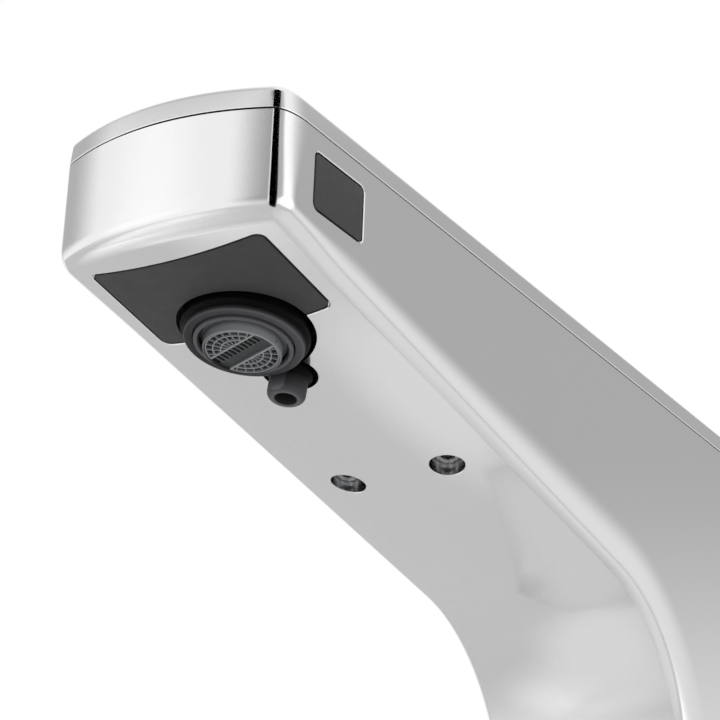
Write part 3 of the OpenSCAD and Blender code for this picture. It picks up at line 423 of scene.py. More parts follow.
def across(w, r, a, soft=0.0, groove=0.0, middle=16, edge=14):
    """Places across a face of half width w, and their rise. Even steps run to the crease, and the edge then
    turns from the crease's angle a to a right angle. Its radius of curvature is r times a share that grows
    late in the turn where the edge is soft, and that starts so low that the crease stays where a plain arc
    of radius r would put it. The integral takes fine steps, of which every twentieth shows."""
    fine, late, groove_width = 20, 1.0, 0.00025
    r, soft = np.broadcast_arrays(np.atleast_1d(r)[:, None], np.reshape(soft, (-1, 1)))
    t = np.linspace(a, math.pi / 2, fine * edge + 1)
    grow = soft * eased(ramp(t, late, math.pi / 2))
    step = t[1] - t[0]
    share = 1 - (grow * np.cos(t)).sum(1, keepdims=True) * step / (1 - math.sin(a))
    speed = (share + grow) * np.stack([np.cos(t), np.sin(t)])[:, None]
    run = np.zeros_like(speed)
    run[..., 1:] = np.cumsum((speed[..., 1:] + speed[..., :-1]) / 2 * step, -1)
    run = run[..., ::fine] * (1 - math.sin(a)) / run[:1, :, -1:]
    crease = w - r * (1 - math.sin(a))
    x = np.concatenate([crease * np.arange(middle) / middle, crease - groove_width, crease + r * run[0]], 1)
    rise = np.concatenate([np.zeros((len(r), middle + 1)), r * run[1]], 1)
    rise[:, middle + 1] += groove
    x[:, -1] = w
    return np.concatenate([-x[:, :0:-1], x], 1), np.concatenate([rise[:, :0:-1], rise], 1)


class Casting:
    """Places and surfaces that follow from the casting's sizes."""

    def __init__(self, s):
        self.s = s
        self.half = s.width / 2
        self.tip = -(s.reach + s.outlet_back)
        self.rear = s.column_depth / 2
        self.slope, self.cos, self.sin = math.tan(s.fall), math.cos(s.fall), math.sin(s.fall)
        self.nose_z = self.under(0) + s.nose_radius * (1 / self.cos - self.slope)
        self.bend_y = -self.rear - s.bend_radius
        turn = math.tan((math.pi / 2 - s.fall) / 2)
        self.bend_z = self.under(-self.rear - self.tip) - s.bend_radius * turn
        self.bend_start = (self.bend_y + s.bend_radius * self.sin, self.bend_z + s.bend_radius * self.cos)
        place = Matrix.Translation((0, -s.reach, self.under(s.outlet_back)))
        self.to_outlet = place @ Matrix.Rotation(-s.fall, 4, "X")

    def under(self, back):
        """Height of the plain underside at a distance back from the front of the spout."""
        return self.s.seam_height - self.s.front_height - self.slope * back

    def stations(self):
        """Rows of [y, z, direction, edge radius, share of the bow, share of the crown, 1 where the crown is
        square to the direction, share of the run-out, share of the groove] from the seam at the front down
        the face, round the nose, along the underside, round the bend and down to the foot. The edge runs
        out plainly at the nose, whose own radius is small."""
        s, fall, down = self.s, -self.s.fall, -math.pi / 2
        t = np.linspace(0, 1, 9)[:-1]
        z = s.seam_height + (self.nose_z - s.seam_height) * t
        front = stacked(self.tip, z, down, s.corner_radius, 1, t, 0, 1 - eased(t), 1)

        t = np.linspace(0, 1, 15)
        a = down + (fall - down) * t
        y, z = self.tip + s.nose_radius * (1 + np.sin(a)), self.nose_z - s.nose_radius * np.cos(a)
        nose = stacked(y, z, a, s.corner_radius + (s.nose_edge - s.corner_radius) * t, 1, 1, 0, 0, 1)

        t = np.linspace(0, 1, 13)[1:]
        d, faded = s.nose_run * t, eased(t)
        edge = s.nose_edge + (s.side_radius - s.nose_edge) * ramp(t, 0, 0.8)
        run = stacked(y[-1] + d * self.cos, z[-1] - d * self.sin, fall, edge, 1 - faded, 1, 0, faded, 1)

        t = np.linspace(0, 1, 15)[1:-1]
        y, z = (run[-1, k] + (self.bend_start[k] - run[-1, k]) * t for k in (0, 1))
        straight = stacked(y, z, fall, s.side_radius, 0, 1, 1, 1 + s.spread * t, 1)

        t = np.linspace(0, 1, 45)
        a = fall + (down - fall) * t
        y, z = self.bend_y - s.bend_radius * np.sin(a), self.bend_z + s.bend_radius * np.cos(a)
        groove = 1 - 0.7 * ramp(t, 0.1 / 2.1, 1.1 / 2.1)
        bend = stacked(y, z, a, s.side_radius, 0, 1, 1, 1 + s.spread, groove)

        z = self.bend_z + (s.foot - self.bend_z) * np.linspace(0, 1, 9)[1:]
        foot = stacked(-self.rear, z, down, s.side_radius, 0, 1, 1, 1 + s.spread, groove[-1])
        self.count = len(front) + len(nose), len(run) + len(straight), len(bend), len(foot)
        return np.concatenate([front, nose, run, straight, bend, foot])

    def skin(self, inset):
        """Surface of the front, the underside and the column's front, set in by inset: from a station's
        point, go inwards by the edge's rise and by the sag of the bow and of the crown."""
        s = self.s
        st = self.stations()
        y, z, direction, _, bow_share, crown_share, square, _, _ = st.T[..., None]
        r = np.maximum(st[:, 3] - inset, 2 * BREAK)
        groove = 0.0 if inset else s.groove * st[:, 8]
        x, rise = across(self.half - inset, r, s.crease, s.run_out * st[:, 7], groove)
        in_y, in_z = -np.sin(direction), np.cos(direction)
        bow, crown = sag(x, s.front_bow) * bow_share, sag(x, s.crown) * crown_share
        sag_y = np.where(square, in_y * crown, bow)
        sag_z = np.where(square, in_z * crown, (crown / self.cos - bow * self.slope) * crown_share)
        return stacked(x, y + in_y * (inset + rise) + sag_y, z + in_z * (inset + rise) + sag_z)

    def far_side(self, inset):
        """The rows that close each station's ring: along the open top, and from half way round the bend down
        the rear face, whose section is a bowed line with rounded ends."""
        s = self.s
        front, run, bend, foot = self.count
        behind_bow, run_start, head = 0.016, 0.0205, 0.011
        x, rise = (v[0, ::-1] for v in across(self.half - inset, s.rear_radius - inset, 0.0))
        rear = self.rear - inset - sag(x, s.rear_bow) - rise
        half = bend // 2
        y = np.concatenate(
            [
                np.linspace(self.tip + behind_bow, self.tip + run_start, front),
                np.linspace(self.tip + run_start, self.bend_start[0], run + 1)[1:],
                np.linspace(self.bend_start[0], self.rear - s.rear_radius - head, half + 1)[1:],
            ]
        )
        upper = np.linspace(s.seam_height, self.bend_z, bend - half)
        z = np.concatenate([upper, np.linspace(self.bend_z, s.foot, foot + 1)[1:]])
        self.top_last = len(y) - 1
        return np.concatenate([stacked(x, y[:, None], s.seam_height), stacked(x, rear, z[:, None])])

    def shell(self):
        """The casting as one closed solid: an outer and an inner skin, joined round the open top and the
        foot."""
        skins = np.array([np.concatenate([self.skin(d), self.far_side(d)], 1) for d in (0.0, self.s.wall)])
        rows, per = skins.shape[1:3]
        m, half, last = rows * per, per // 2, self.top_last
        i, j = np.divmod(np.arange((rows - 1) * per), per)
        keep = (i > last) | (j < half) | (j == per - 1)
        a, b = (i * per + j)[keep], (i * per + (j + 1) % per)[keep]
        skin = np.stack([a, a + per, b + per, b], 1)
        left, right = np.arange(last + 1) * per + half, np.arange(last, -1, -1) * per + per - 1
        top = np.concatenate([np.arange(half), left, (last + 1) * per + np.arange(half, per), right])
        foot = (rows - 1) * per + np.arange(per)
        rim = np.stack([top, np.roll(top, -1), np.roll(top, -1) + m, top + m], 1)
        base = np.stack([foot, foot + m, np.roll(foot, -1) + m, np.roll(foot, -1)], 1)
        used, faces = np.unique(np.concatenate([skin, skin[:, ::-1] + m, rim, base]), return_inverse=True)
        return skins.reshape(-1, 3)[used], faces.reshape(-1, 4).tolist()

    def plan(self, inset, z):
        """Front and rear row of the outline seen from above, set in by inset, at height z."""
        s, w = self.s, self.half - inset
        least = PLAY * 4
        front = across(w, max(s.corner_radius - inset, least), s.crease, s.run_out, middle=24)
        rear = across(w, max(s.rear_radius - inset, least), 0.0, middle=24)
        (x, rise), (u, fall) = (v[0] for v in front), (v[0] for v in rear)
        front = stacked(x, self.tip + inset + sag(x, s.front_bow) + rise, z)
        return front, stacked(u, self.rear - inset - sag(u, s.rear_bow) - fall, z)

    def plate(self, o, levels):
        """A smoked plate, or its seat, whose levels follow the crowned underside."""
        middle = (-self.s.outlet_back + o.plate_back) / self.cos + o.plate_length / 2
        made = rounded_levels(o.plate_width, o.plate_length, o.plate_corner, levels, middle, self.s.crown)
        return placed(turned_over(slab(made)), self.to_outlet)

    def window(self, o, levels):
        """A side window, or its seat: x of its levels runs along the spout, y up and z out of the side."""
        y = self.tip + o.window_back + o.window_length / 2
        z = self.s.seam_height - o.window_down - o.window_height / 2
        turned = Matrix(((0, 0, 1, 0), (1, 0, 0, 0), (0, 1, 0, 0), (0, 0, 0, 1)))
        made = rounded_levels(o.window_length, o.window_height, o.window_corner, levels)
        return placed(slab(made), Matrix.Translation((self.half, y, z)) @ turned)

    def holder_room(self, out, gap):
        """Prisms of the outlet's opening: round the collar, round the nozzle and between them."""
        high, half, start = 0.006, out.neck + gap, 0.002
        collar = cylinder(out.collar + gap, -high, high)
        nozzle = moved(cylinder(out.nozzle + out.nozzle_wall + gap, -high, high), y=out.nozzle_back)
        neck = box((-half, start, OFF - high), (half, out.nozzle_back, high - OFF))
        return [placed(part, self.to_outlet) for part in (collar, nozzle, neck)]

    def screws(self, o):
        """Places of the two lid screws on the underside."""
        z = self.under(o.screw_back) + sag(o.screw_side, self.s.crown) / self.cos
        return [(x, self.tip + o.screw_back, z) for x in (-o.screw_side, o.screw_side)]


# Objects and finishes


def make_object(name, shape, smooth=30.0):
    """A mesh object from a shape, smooth except across edges sharper than an angle in degrees."""
    mesh = bpy.data.meshes.new(name)
    mesh.from_pydata(shape[0].tolist(), [], shape[1])
    mesh.validate()
    mesh.shade_smooth()
    if smooth:
        mesh.set_sharp_from_angle(angle=math.radians(smooth))
    piece = bpy.data.objects.new(name, mesh)
    bpy.context.scene.collection.objects.link(piece)
    return piece


def settled(piece):
    """The piece with its modifiers applied."""
    graph = bpy.context.evaluated_depsgraph_get()
    mesh = bpy.data.meshes.new_from_object(
        piece.evaluated_get(graph), preserve_all_data_layers=True, depsgraph=graph
    )
    piece.modifiers.clear()
    old, piece.data = piece.data, mesh
    bpy.data.meshes.remove(old)
    return piece


def read(items, key, width=1, kind=float):
    """One property of all items of a mesh as an array, with a row of a width for each."""
    values = np.empty(len(items) * width, kind)
    items.foreach_get(key, values)
    return values.reshape(-1, width) if width > 1 else values


def carved(piece, cuts, adds=()):
    """The piece with solids added and cut away. The skin that stays keeps the normals that it had before,
    and the faces of a cut, or a normal that comes from the wrong side of an edge, keep their own."""
    shape = read(piece.data.vertices, "co", 3), [list(p.vertices) for p in piece.data.polygons]
    uncut = make_object("uncut", shape, smooth=15)
    weighted = uncut.modifiers.new("weighted", "WEIGHTED_NORMAL")
    weighted.mode, weighted.weight, weighted.keep_sharp = "FACE_AREA", 60, True
    piece.modifiers.new("triangles", "TRIANGULATE")
    piece.data.materials.append(bpy.data.materials.new("skin"))
    mark = bpy.data.materials.new("cut")
    tools = [make_object("tool", shape, smooth=0) for shape in (*adds, *cuts)]
    for k, tool in enumerate(tools):
        tool.data.materials.append(mark)
        modifier = piece.modifiers.new("tool", "BOOLEAN")
        modifier.operation = "UNION" if k < len(adds) else "DIFFERENCE"
        modifier.solver, modifier.object, modifier.material_mode = "MANIFOLD", tool, "TRANSFER"
    mesh = settled(piece).data
    mesh.shade_smooth()
    mesh.set_sharp_from_angle(angle=math.radians(25))
    own = read(mesh.corner_normals, "vector", 3)
    transfer = piece.modifiers.new("normals", "DATA_TRANSFER")
    transfer.object = uncut
    transfer.use_loop_data = True
    transfer.data_types_loops = {"CUSTOM_NORMAL"}
    transfer.loop_mapping = "NEAREST_POLYNOR"
    mesh = settled(piece).data
    kept = read(mesh.corner_normals, "vector", 3)
    marked = np.array([m.name.startswith("cut") if m else False for m in mesh.materials])
    faces = marked[read(mesh.polygons, "material_index", kind=np.int32)]
    corners = np.repeat(faces, read(mesh.polygons, "loop_total", kind=np.int32))
    agree = 0.8
    is_own = corners | ((own * kept).sum(1) < agree)
    mesh.normals_split_custom_set(np.where(is_own[:, None], own, kept).tolist())
    for tool in tools + [uncut]:
        bpy.data.objects.remove(tool)
    return piece


def dress(piece, slot, body, *nodes):
    """The piece takes a finish, rides on a body and stands for CAD nodes."""
    piece.data.materials.clear()
    piece.data.materials.append(bpy.data.materials[slot])
    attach(piece, body)
    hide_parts(*nodes)


def add_node(tree, kind, output, sockets=(), **settings):
    """Adds a shader node and gives an output of it. Its sockets, by name or number, take a value or a link
    from another output."""
    node = tree.nodes.new("ShaderNode" + kind)
    for name, value in settings.items():
        setattr(node, name, value)
    for key, value in dict(sockets).items():
        if isinstance(value, NodeSocket):
            tree.links.new(value, node.inputs[key])
        else:
            node.inputs[key].default_value = value
    return node.outputs[output]


class Finish:
    """A node material: a Principled shader whose patterns read Object coordinates or the piece's painted
    light and shade.
    """

    def __init__(self, name, base, metallic, roughness, sockets):
        self.material = bpy.data.materials.new(name)
        self.material.use_nodes = True
        self.tree = self.material.node_tree
        self.shader = self.tree.nodes["Principled BSDF"]
        self.base = base
        plain = {"Base Color": (*base, 1), "Metallic": metallic, "Roughness": roughness}
        for socket, value in {**plain, **sockets}.items():
            self.shader.inputs[socket].default_value = value
        self.place = add_node(self.tree, "TexCoord", "Object")

    def feed(self, socket, output):
        """Links an output to a socket of the shader."""
        self.tree.links.new(output, self.shader.inputs[socket])

    def noise(self, scale, detail, stretch=(1, 1, 1)):
        """Noise of a number of waves per metre, stretched along the axes."""
        place = add_node(self.tree, "Mapping", "Vector", {"Scale": stretch, "Vector": self.place})
        return add_node(self.tree, "TexNoise", "Fac", {"Scale": scale, "Detail": detail, "Vector": place})

    def bands(self, count):
        """Even bands across Z, a number per metre: the texture has 20 in a full turn."""
        sockets = {"Scale": count * 2 * math.pi / 20, "Vector": self.place}
        return add_node(self.tree, "TexWave", "Fac", sockets, bands_direction="Z")

    def tone(self):
        """The piece's painted light and shade, from 0, darkest, to 1."""
        return add_node(self.tree, "Attribute", "Fac", attribute_name="tone")

    def tint(self, pattern, dark, light, low=0.3, high=0.7):
        """Base colour between two shares of the plain colour where a pattern is low and high."""
        tinted = add_node(self.tree, "ValToRGB", "Color", {"Fac": pattern})
        for element, position, share in zip(tinted.node.color_ramp.elements, (low, high), (dark, light)):
            element.position = position
            element.color = (*[min(c * share, 1) for c in self.base], 1)
        self.feed("Base Color", tinted)

    def rough(self, pattern, smooth, dull, low=0.3, high=0.7):
        """Roughness between two values where a pattern is low and high."""
        ends = {"From Min": low, "From Max": high, "To Min": smooth, "To Max": dull, "Value": pattern}
        self.feed("Roughness", add_node(self.tree, "MapRange", "Result", ends))

    def bump(self, pattern, height):
        """Bump of a height in metres."""
        sockets = {"Strength": 1.0, "Distance": height, "Height": pattern}
        self.feed("Normal", add_node(self.tree, "Bump", "Normal", sockets))


def make_finishes(colours):
    """Every finish of the tap, named like the record's slots. A row has the metallic share, the roughness
    and other sockets, and then three patterns with their ends: of the colour, with a darker and a lighter
    share, of the roughness, and of the bump, with its height. A pattern is a noise's waves per metre, detail
    and stretch, a number of bands per metre, or the piece's painted light and shade, whose ends count as they
    are."""
    gloss = "Specular IOR Level"
    varnish = {"Coat Weight": 0.6, "Coat Roughness": 0.15}
    tracks, brushed, scored = (1200, 0, (1, 5, 1)), (900, 3, (1, 1, 6)), (1800, 2, (1, 1, 8))
    for name, metallic, roughness, sockets, tint, rough, bump in (
        ("chrome", 1, 0.035, {}, None, ((60, 2), 0.08, 0.12), ((45, 1), 4e-6)),
        ("smoked_plastic", 0, 0.5, {gloss: 0.4},
         ((900, 2), 0.94, 1.06), ((300, 3), 0.46, 0.56), ((2500, 2), 6e-6)),
        # The black and grey plastics are darkened and lightened by each piece's painted light and shade:
        # painted shade in hollows and bores, painted highlights on rims and faces.
        ("black_plastic", 0, 0.42, {gloss: 0.07},
         ("tone", 0.15, 10, 0, 1), ((250, 3), 0.36, 0.5), ((3000, 2), 8e-6)),
        ("grey_plastic", 0, 0.38, {gloss: 0.07},
         ("tone", 0.005, 2.4, 0, 1), ((300, 2), 0.32, 0.45), ((2500, 2), 6e-6)),
        ("pale_plastic", 0, 0.45, {"Subsurface Weight": 0.05},
         ((200, 3), 0.95, 1.03), ((400, 2), 0.4, 0.52), ((1500, 2), 1e-5)),
        ("rubber", 0, 0.7, {gloss: 0.35},
         ((700, 3), 0.8, 1.35), ((500, 2), 0.62, 0.8), ((2200, 3), 1.5e-5)),
        ("steel", 1, 0.28, {}, ((150, 3), 0.92, 1.06), (brushed, 0.2, 0.36), (scored, 3e-6)),
        ("coil", 0, 0.3, varnish, (2500, 0.6, 1.6), None, (2500, 8e-5)),
        ("board", 0, 0.35, {"Coat Weight": 0.4}, (tracks, 0.7, 1.5), None, (tracks, 2e-5)),
        ("infrared", 0, 0.08, {}, ((300, 2), 0.8, 1.2), None, None),
        ("brass", 1, 0.25, {}, ((60, 3), 0.94, 1.03), ((700, 3), 0.24, 0.32), ((2500, 2), 1e-6)),
        ("cast_foot", 0.6, 0.5, {}, ((250, 4), 0.85, 1.12), ((400, 3), 0.42, 0.6), ((1200, 4), 3e-5)),
    ):
        finish = Finish(name, getattr(colours, name), metallic, roughness, sockets)
        for apply, row in ((finish.tint, tint), (finish.rough, rough), (finish.bump, bump)):
            if row:
                pattern, *ends = row
                if pattern == "tone":
                    made = finish.tone()
                else:
                    made = finish.noise(*pattern) if isinstance(pattern, tuple) else finish.bands(pattern)
                apply(made, *ends)


# Operators: one for each piece or group of like pieces


class TAP_OT_finishes(Operator):
    """Node materials of every finish"""

    bl_idname = "tap.finishes"
    bl_label = "Finishes"

    def execute(self, context):
        for material in list(bpy.data.materials):
            material.name = "packed_" + material.name
        make_finishes(context.scene.tap_finishes)
        return {"FINISHED"}


class TAP_OT_inner(Operator):
    """Finishes of the pieces that keep their CAD shape"""

    bl_idname = "tap.inner"
    bl_label = "Inner pieces"

    def execute(self, context):
        for part in frame["record"]["subparts"]:
            node = frame["nodes"][part["node"]]
            finish = bpy.data.materials[part["material_slot"]]
            if not node.material_slots:
                node.data.materials.append(finish)
            for slot in node.material_slots:
                slot.material = finish
        return {"FINISHED"}


class TAP_OT_casting(Operator):
    """Chromed casting: crowned underside, bowed front, bend, windows' seats, outlet's opening, screw holes"""

    bl_idname = "tap.casting"
    bl_label = "Casting"

    def execute(self, context):
        s, o, out = groups(context, "casting", "openings", "outlet")
        c = Casting(s)
        piece = make_object("casting", c.shell(), smooth=15)
        past, deep, ledge, round_holder = 0.0005, o.plate_thickness + PLAY, 0.002, 0.0011
        wide = o.gap + o.lip + past
        cuts = [c.plate(o, [(o.gap, deep), (o.gap, o.lip), (wide, -past)])]
        cuts += [c.window(o, [(o.gap, -deep), (o.gap, -o.lip), (wide, past)])]
        cuts += [c.window(o, [(-ledge, -s.wall - 2 * past), (-ledge, -deep + 4 * PLAY)])]
        cuts += c.holder_room(out, round_holder)

        low, flange_high, sensor_high, sight_high = s.wall - 2 * PLAY, s.wall + 0.0058, s.wall + 0.0038, 0.010
        sensor_half, sensor_front, sensor_rear = 0.0174, -0.0253, -0.0148
        sight_half, sight_front, sight_rear = 0.013, -0.0229, -0.0178
        flange = cylinder(out.flange + 4 * PLAY, low, flange_high)
        sensor = box((-sensor_half, sensor_front, low), (sensor_half, sensor_rear, sensor_high))
        sight = box((-sight_half, sight_front, -ledge), (sight_half, sight_rear, sight_high))
        cuts += [placed(room, c.to_outlet) for room in (flange, sensor, sight)]

        adds = []
        boss, screw, more = o.screw_hole + 0.0017, 0.00225, 0.001
        boss_low, over_shelf, below = 0.0016, 0.003, 0.012
        for x, y, z in c.screws(o):
            shelf = z + o.screw_depth
            adds.append(moved(cylinder(boss, z + boss_low, shelf + over_shelf, 48), x, y))
            cuts.append(moved(cylinder(o.screw_hole, z - below, shelf, 64), x, y))
            cuts.append(moved(cylinder(screw, shelf - more, shelf + over_shelf + more, 32), x, y))
            tilt = Matrix.Rotation(-s.fall, 4, "X") @ Matrix.Rotation(-math.asin(x / s.crown), 4, "Y")
            edge = cylinder(o.screw_hole, -more, o.lip, 64, flare=more + o.lip)
            cuts.append(placed(edge, Matrix.Translation((x, y, z)) @ tilt))

        boss, screw, boss_in = 0.0046, 0.002, 0.0044
        foot_top, boss_high, screw_high = s.foot + 0.0065, 0.013, 0.011
        for side in (-1, 1):
            x = side * (c.half - s.wall - boss_in)
            adds.append(moved(cylinder(boss, foot_top + PLAY / 2, foot_top + boss_high, 48), x))
            cuts.append(moved(cylinder(screw, foot_top - more, foot_top + screw_high, 32), x))
        dress(carved(piece, cuts, adds), "chrome", "tap", "body_shell")
        return {"FINISHED"}


class TAP_OT_lid(Operator):
    """Chromed lid with a rounded edge and a crowned top, with its rib and posts inside"""

    bl_idname = "tap.lid"
    bl_label = "Lid"

    def execute(self, context):
        s, o = groups(context, "casting", "openings")
        c = Casting(s)
        base = s.seam_height + s.seam
        a = np.linspace(0, math.pi / 2, 13)
        edge = stacked(s.lid_radius * (1 - np.cos(a)), s.lid_height - s.lid_radius + s.lid_radius * np.sin(a))
        t = np.linspace(0, 1, 13)[1:]
        top = stacked(s.lid_radius + s.lid_slope * t, s.lid_height + s.lid_rise * (1 - (1 - t) ** 2))
        lip = [(2 * PLAY, 0.0), (0.00006, 0.00006), (0.0, 2 * PLAY)]
        levels = [c.plan(inset + s.lid_lean * z, base + z) for inset, z in np.concatenate([lip, edge, top])]
        high, rib_deep, rib_play, rib_width = base + 0.0005, 0.004, 0.00015, 0.0016
        shapes = [slab(levels), self.rib(c, rib_play, rib_width, base - rib_deep, high)]

        screw, post, over_shelf = 0.002, 0.0045, 0.0033
        for x, y, z in c.screws(o):
            low = z + o.screw_depth + over_shelf
            profile = rounded([(screw, low), (post, low), (post, high), (screw, high)], BREAK, 3)
            shapes.append(moved(lathe(profile, 48), x, y))
        screw, post, low = 0.00125, 0.003, s.seam_height - 0.001
        side, posts_behind = c.half - s.wall - 0.0068, (0.0122, 0.0642)
        for x in (-side, side):
            for behind in posts_behind:
                profile = [(screw, low), (post, low), (post, high), (screw, high)]
                shapes.append(moved(lathe(profile, 32), x, y + behind))
        dress(make_object("lid", joined(*shapes), 15), "chrome", "tap", "top_lid")
        return {"FINISHED"}

    @staticmethod
    def rib(c, play, width, low, high):
        """The locating rib: a closed band inside the casting's wall, between two outlines and two heights."""
        outer, inner = c.s.wall + play, c.s.wall + play + width
        rings = []
        for inset, z in ((outer, low), (outer, high), (inner, high), (inner, low)):
            front, rear = c.plan(inset, z)
            rings.append(np.concatenate([front, rear[::-1]]))
        return looped(rings)


class TAP_OT_windows(Operator):
    """Smoked plate round the outlet and smoked window in the right side face"""

    bl_idname = "tap.windows"
    bl_label = "Smoked windows"

    def execute(self, context):
        s, o, out = groups(context, "casting", "openings", "outlet")
        c = Casting(s)
        r, plate_in, window_in, round_holder = 0.00015, PLAY, PLAY / 2, 0.001
        arc = [(-r * (1 - math.sin(a)), r * (1 - math.cos(a))) for a in np.linspace(math.pi / 2, 0, 5)]
        levels = [(0.0, o.plate_thickness)] + [(grow, plate_in + d) for grow, d in arc]
        plate = make_object("smoked_plate", c.plate(o, levels))
        dress(carved(plate, c.holder_room(out, round_holder)), "smoked_plastic", "tap", "under_plate")
        levels = [(0.0, -o.plate_thickness - window_in)] + [(grow, -window_in - d) for grow, d in arc]
        dress(make_object("smoked_window", c.window(o, levels)), "smoked_plastic", "tap", "side_window")
        return {"FINISHED"}


class TAP_OT_outlet(Operator):
    """Outlet holder with the soap nozzle, and the ring, the swivelling core and the web in it"""

    bl_idname = "tap.outlet"
    bl_label = "Water outlet and soap nozzle"

    def execute(self, context):
        s, out = groups(context, "casting", "outlet")
        face = -out.rim_out - out.face_out
        end, seat, web_in = face - out.core_out, s.wall - 0.00018, 0.00015
        for name, (shape, painted_shading), slot, body, node in (
            ("outlet_holder", self.holder(out, seat), "black_plastic", "tap", "outlet_housing"),
            ("outlet_ring", self.ring(out, face), "black_plastic", "tap", "aerator_ring"),
            ("outlet_core", self.core(out, end), "grey_plastic", "outlet_core", "aerator_core"),
            ("outlet_web", self.web(out, end + web_in), "grey_plastic", "outlet_core", "outlet_grid"),
        ):
            piece = make_object(name, placed(shape, Casting(s).to_outlet), 35)
            # Each point carries its painted light and shade, which the finish turns into a darker or lighter
            # colour.
            layer = piece.data.attributes.new("tone", "FLOAT", "POINT")
            layer.data.foreach_set("value", np.asarray(painted_shading, np.float32))
            dress(piece, slot, body, node)
        return {"FINISHED"}

    def holder(self, out, seat):
        """The holder's profile turned round the outlet, the nozzle's turned round its own axis, the neck
        between them, and a spigot for the water and a barb for the soap."""
        low, high, room, roof = -out.rim_out, out.depth, out.depth - 0.006, out.depth - 0.0015
        bore, chamber, behind = out.thread + PLAY / 2, out.thread - 0.0012, seat + 0.0018
        rim, collar, flange = out.rim, out.collar, out.flange
        body = rounded(
            [(bore, low), (rim, low), (rim, low + 0.0015), (collar, low + 0.002), (collar, seat),
             (flange, seat), (flange, behind), (collar, behind), (collar, high), (OFF, high),
             (OFF, roof), (chamber, roof), (chamber, room), (bore, room)],
            [BREAK, 0.0005, 0.0004, 0.0004, 0, BREAK, BREAK, 0, 0.0008, 0, 0, 0, 0, 0],
        )
        n, wide, tube = out.nozzle, out.nozzle + out.nozzle_wall, out.nozzle_bore
        tip, step, top = -out.nozzle_out, -0.0006, 0.0074
        nozzle = rounded(
            [(tube, tip), (n, tip), (n, step), (wide, step), (wide, top), (tube, top)],
            [BREAK, 0.0014, 0.0006, 0.0004, BREAK, 0],
            9,
        )
        w, under, turn = out.neck, -0.0014, 0.0011
        neck = rounded([(-w, under), (w, under), (w, top), (-w, top)], [turn, turn, BREAK, BREAK], 7)
        inner, outer, run = 0.0024, 0.0036, 0.0225
        spigot = rounded([(inner, 0), (outer, 0), (outer, run), (inner, run)], BREAK, 3)
        inner, thin, thick = 0.0008, 0.0017, 0.0026
        start, ridge, run = 0.0054, 0.008, 0.011
        barb = [
            (inner, start), (thick, start), (thick, ridge),
            (thin, ridge + PLAY), (thin, run), (inner, run),
        ]
        back = Matrix.Translation((-0.006, 0.004, 0.0095)) @ Matrix.Rotation(math.radians(-90), 4, "X")
        shape = joined(
            lathe(body, 128),
            moved(lathe(nozzle, 64), y=out.nozzle_back),
            rod(neck, 0.011, out.nozzle_back - 0.0005),
            placed(lathe(spigot, 40), back),
            moved(lathe(barb, 32), y=out.nozzle_back + 0.0004),
        )
        # Painted light and shade: the rim's face is lighter towards +X, with a painted highlight at its outer
        # edge and round the nozzle's tip, brightest near the bore. The collar's wall, the bore and the rest
        # stay darkest as painted shade.
        x, y, z = shape[0].T
        far, near = np.hypot(x, y), np.hypot(x, y - out.nozzle_back)
        rim = ramp(-z, 0.0021, 0.0026) * (far < out.collar - PLAY) * (0.42 + 0.2 * x / out.rim)
        edge = 0.25 * ramp(far, 0.01165, 0.01195) * ramp(-z, 0.0022, 0.0027)
        tip = ramp(-z, out.nozzle_out - 0.0022, out.nozzle_out - 0.0002) * (near < wide + 2 * PLAY)
        tip = tip * (near > out.nozzle_bore + PLAY / 2) * (0.35 + 0.5 * ramp(near, 0.0034, 0.0028))
        return shape, np.clip(rim + edge + tip, 0, 1)

    def ring(self, out, face):
        """The ring's profile turned round the outlet: a flat face, the thread and the seat of the ball."""
        high, ball, r = 0.0055, out.ball_height, out.ball + PLAY
        t = np.linspace(-1.22, 0, 12)
        seat = stacked(r * np.cos(t), ball + r * np.sin(t))
        seat = seat[seat[:, 0] > out.lip][::-1]
        thread = out.thread - PLAY
        outer = rounded([(out.lip + 0.0005, face), (thread, face), (thread, high)], [0, BREAK, 0])
        lip = [(out.lip, seat[-1, 1] - PLAY), (out.lip, face + 0.0007)]
        shape = lathe(np.concatenate([outer, [(r, high)], seat, lip]), 128)
        # Painted highlight on the ring's flat face, fading to painted shade a fraction of a millimetre inside
        # it.
        return shape, 0.9 * ramp(shape[0][:, 2], face + 0.00055, face + 0.00005)

    def core(self, out, end):
        """The core's profile turned round the outlet, from its collar to the ball, and its two pins."""
        web, low, inner = out.web, -0.0025, out.web - 0.0006
        t = np.linspace(-0.3, 0.41, 12)
        arc = stacked(out.ball * np.cos(t), out.ball_height + out.ball * np.sin(t))
        collar = rounded(
            [(web, end), (web + 0.00045, end), (web + 0.0006, low), (web - 0.0002, low)],
            [PLAY, 0.00025, 0, 0],
            4,
        )
        shoulder = [arc[0] - (0.0003, PLAY)]
        back = [(inner, arc[-1, 1]), (inner, end + 0.0015), (web, end + 0.0015)]
        a = turns(24)
        pin = stacked(out.pin * np.cos(a), out.ball_height + out.pin * np.sin(a))
        quarter = Matrix.Rotation(math.radians(90), 4, "Z")
        pins = [placed(rod(pin, start, start + 0.003), quarter) for start in (-0.00995, 0.00695)]
        shape = joined(lathe(np.concatenate([collar[:-1], shoulder, arc, back]), 128), *pins)
        # Painted light and shade: lighter towards +X and -Y and on the face at the end, with the inside of
        # the core darkest as painted shade.
        x, y, z = shape[0].T
        painted_shading = 0.25 + 0.3 * x / web - 0.25 * y / web + 0.25 * (z < end + 0.00012)
        return shape, np.where(np.hypot(x, y) < web - 0.0004, 0, np.clip(painted_shading, 0.06, 1))

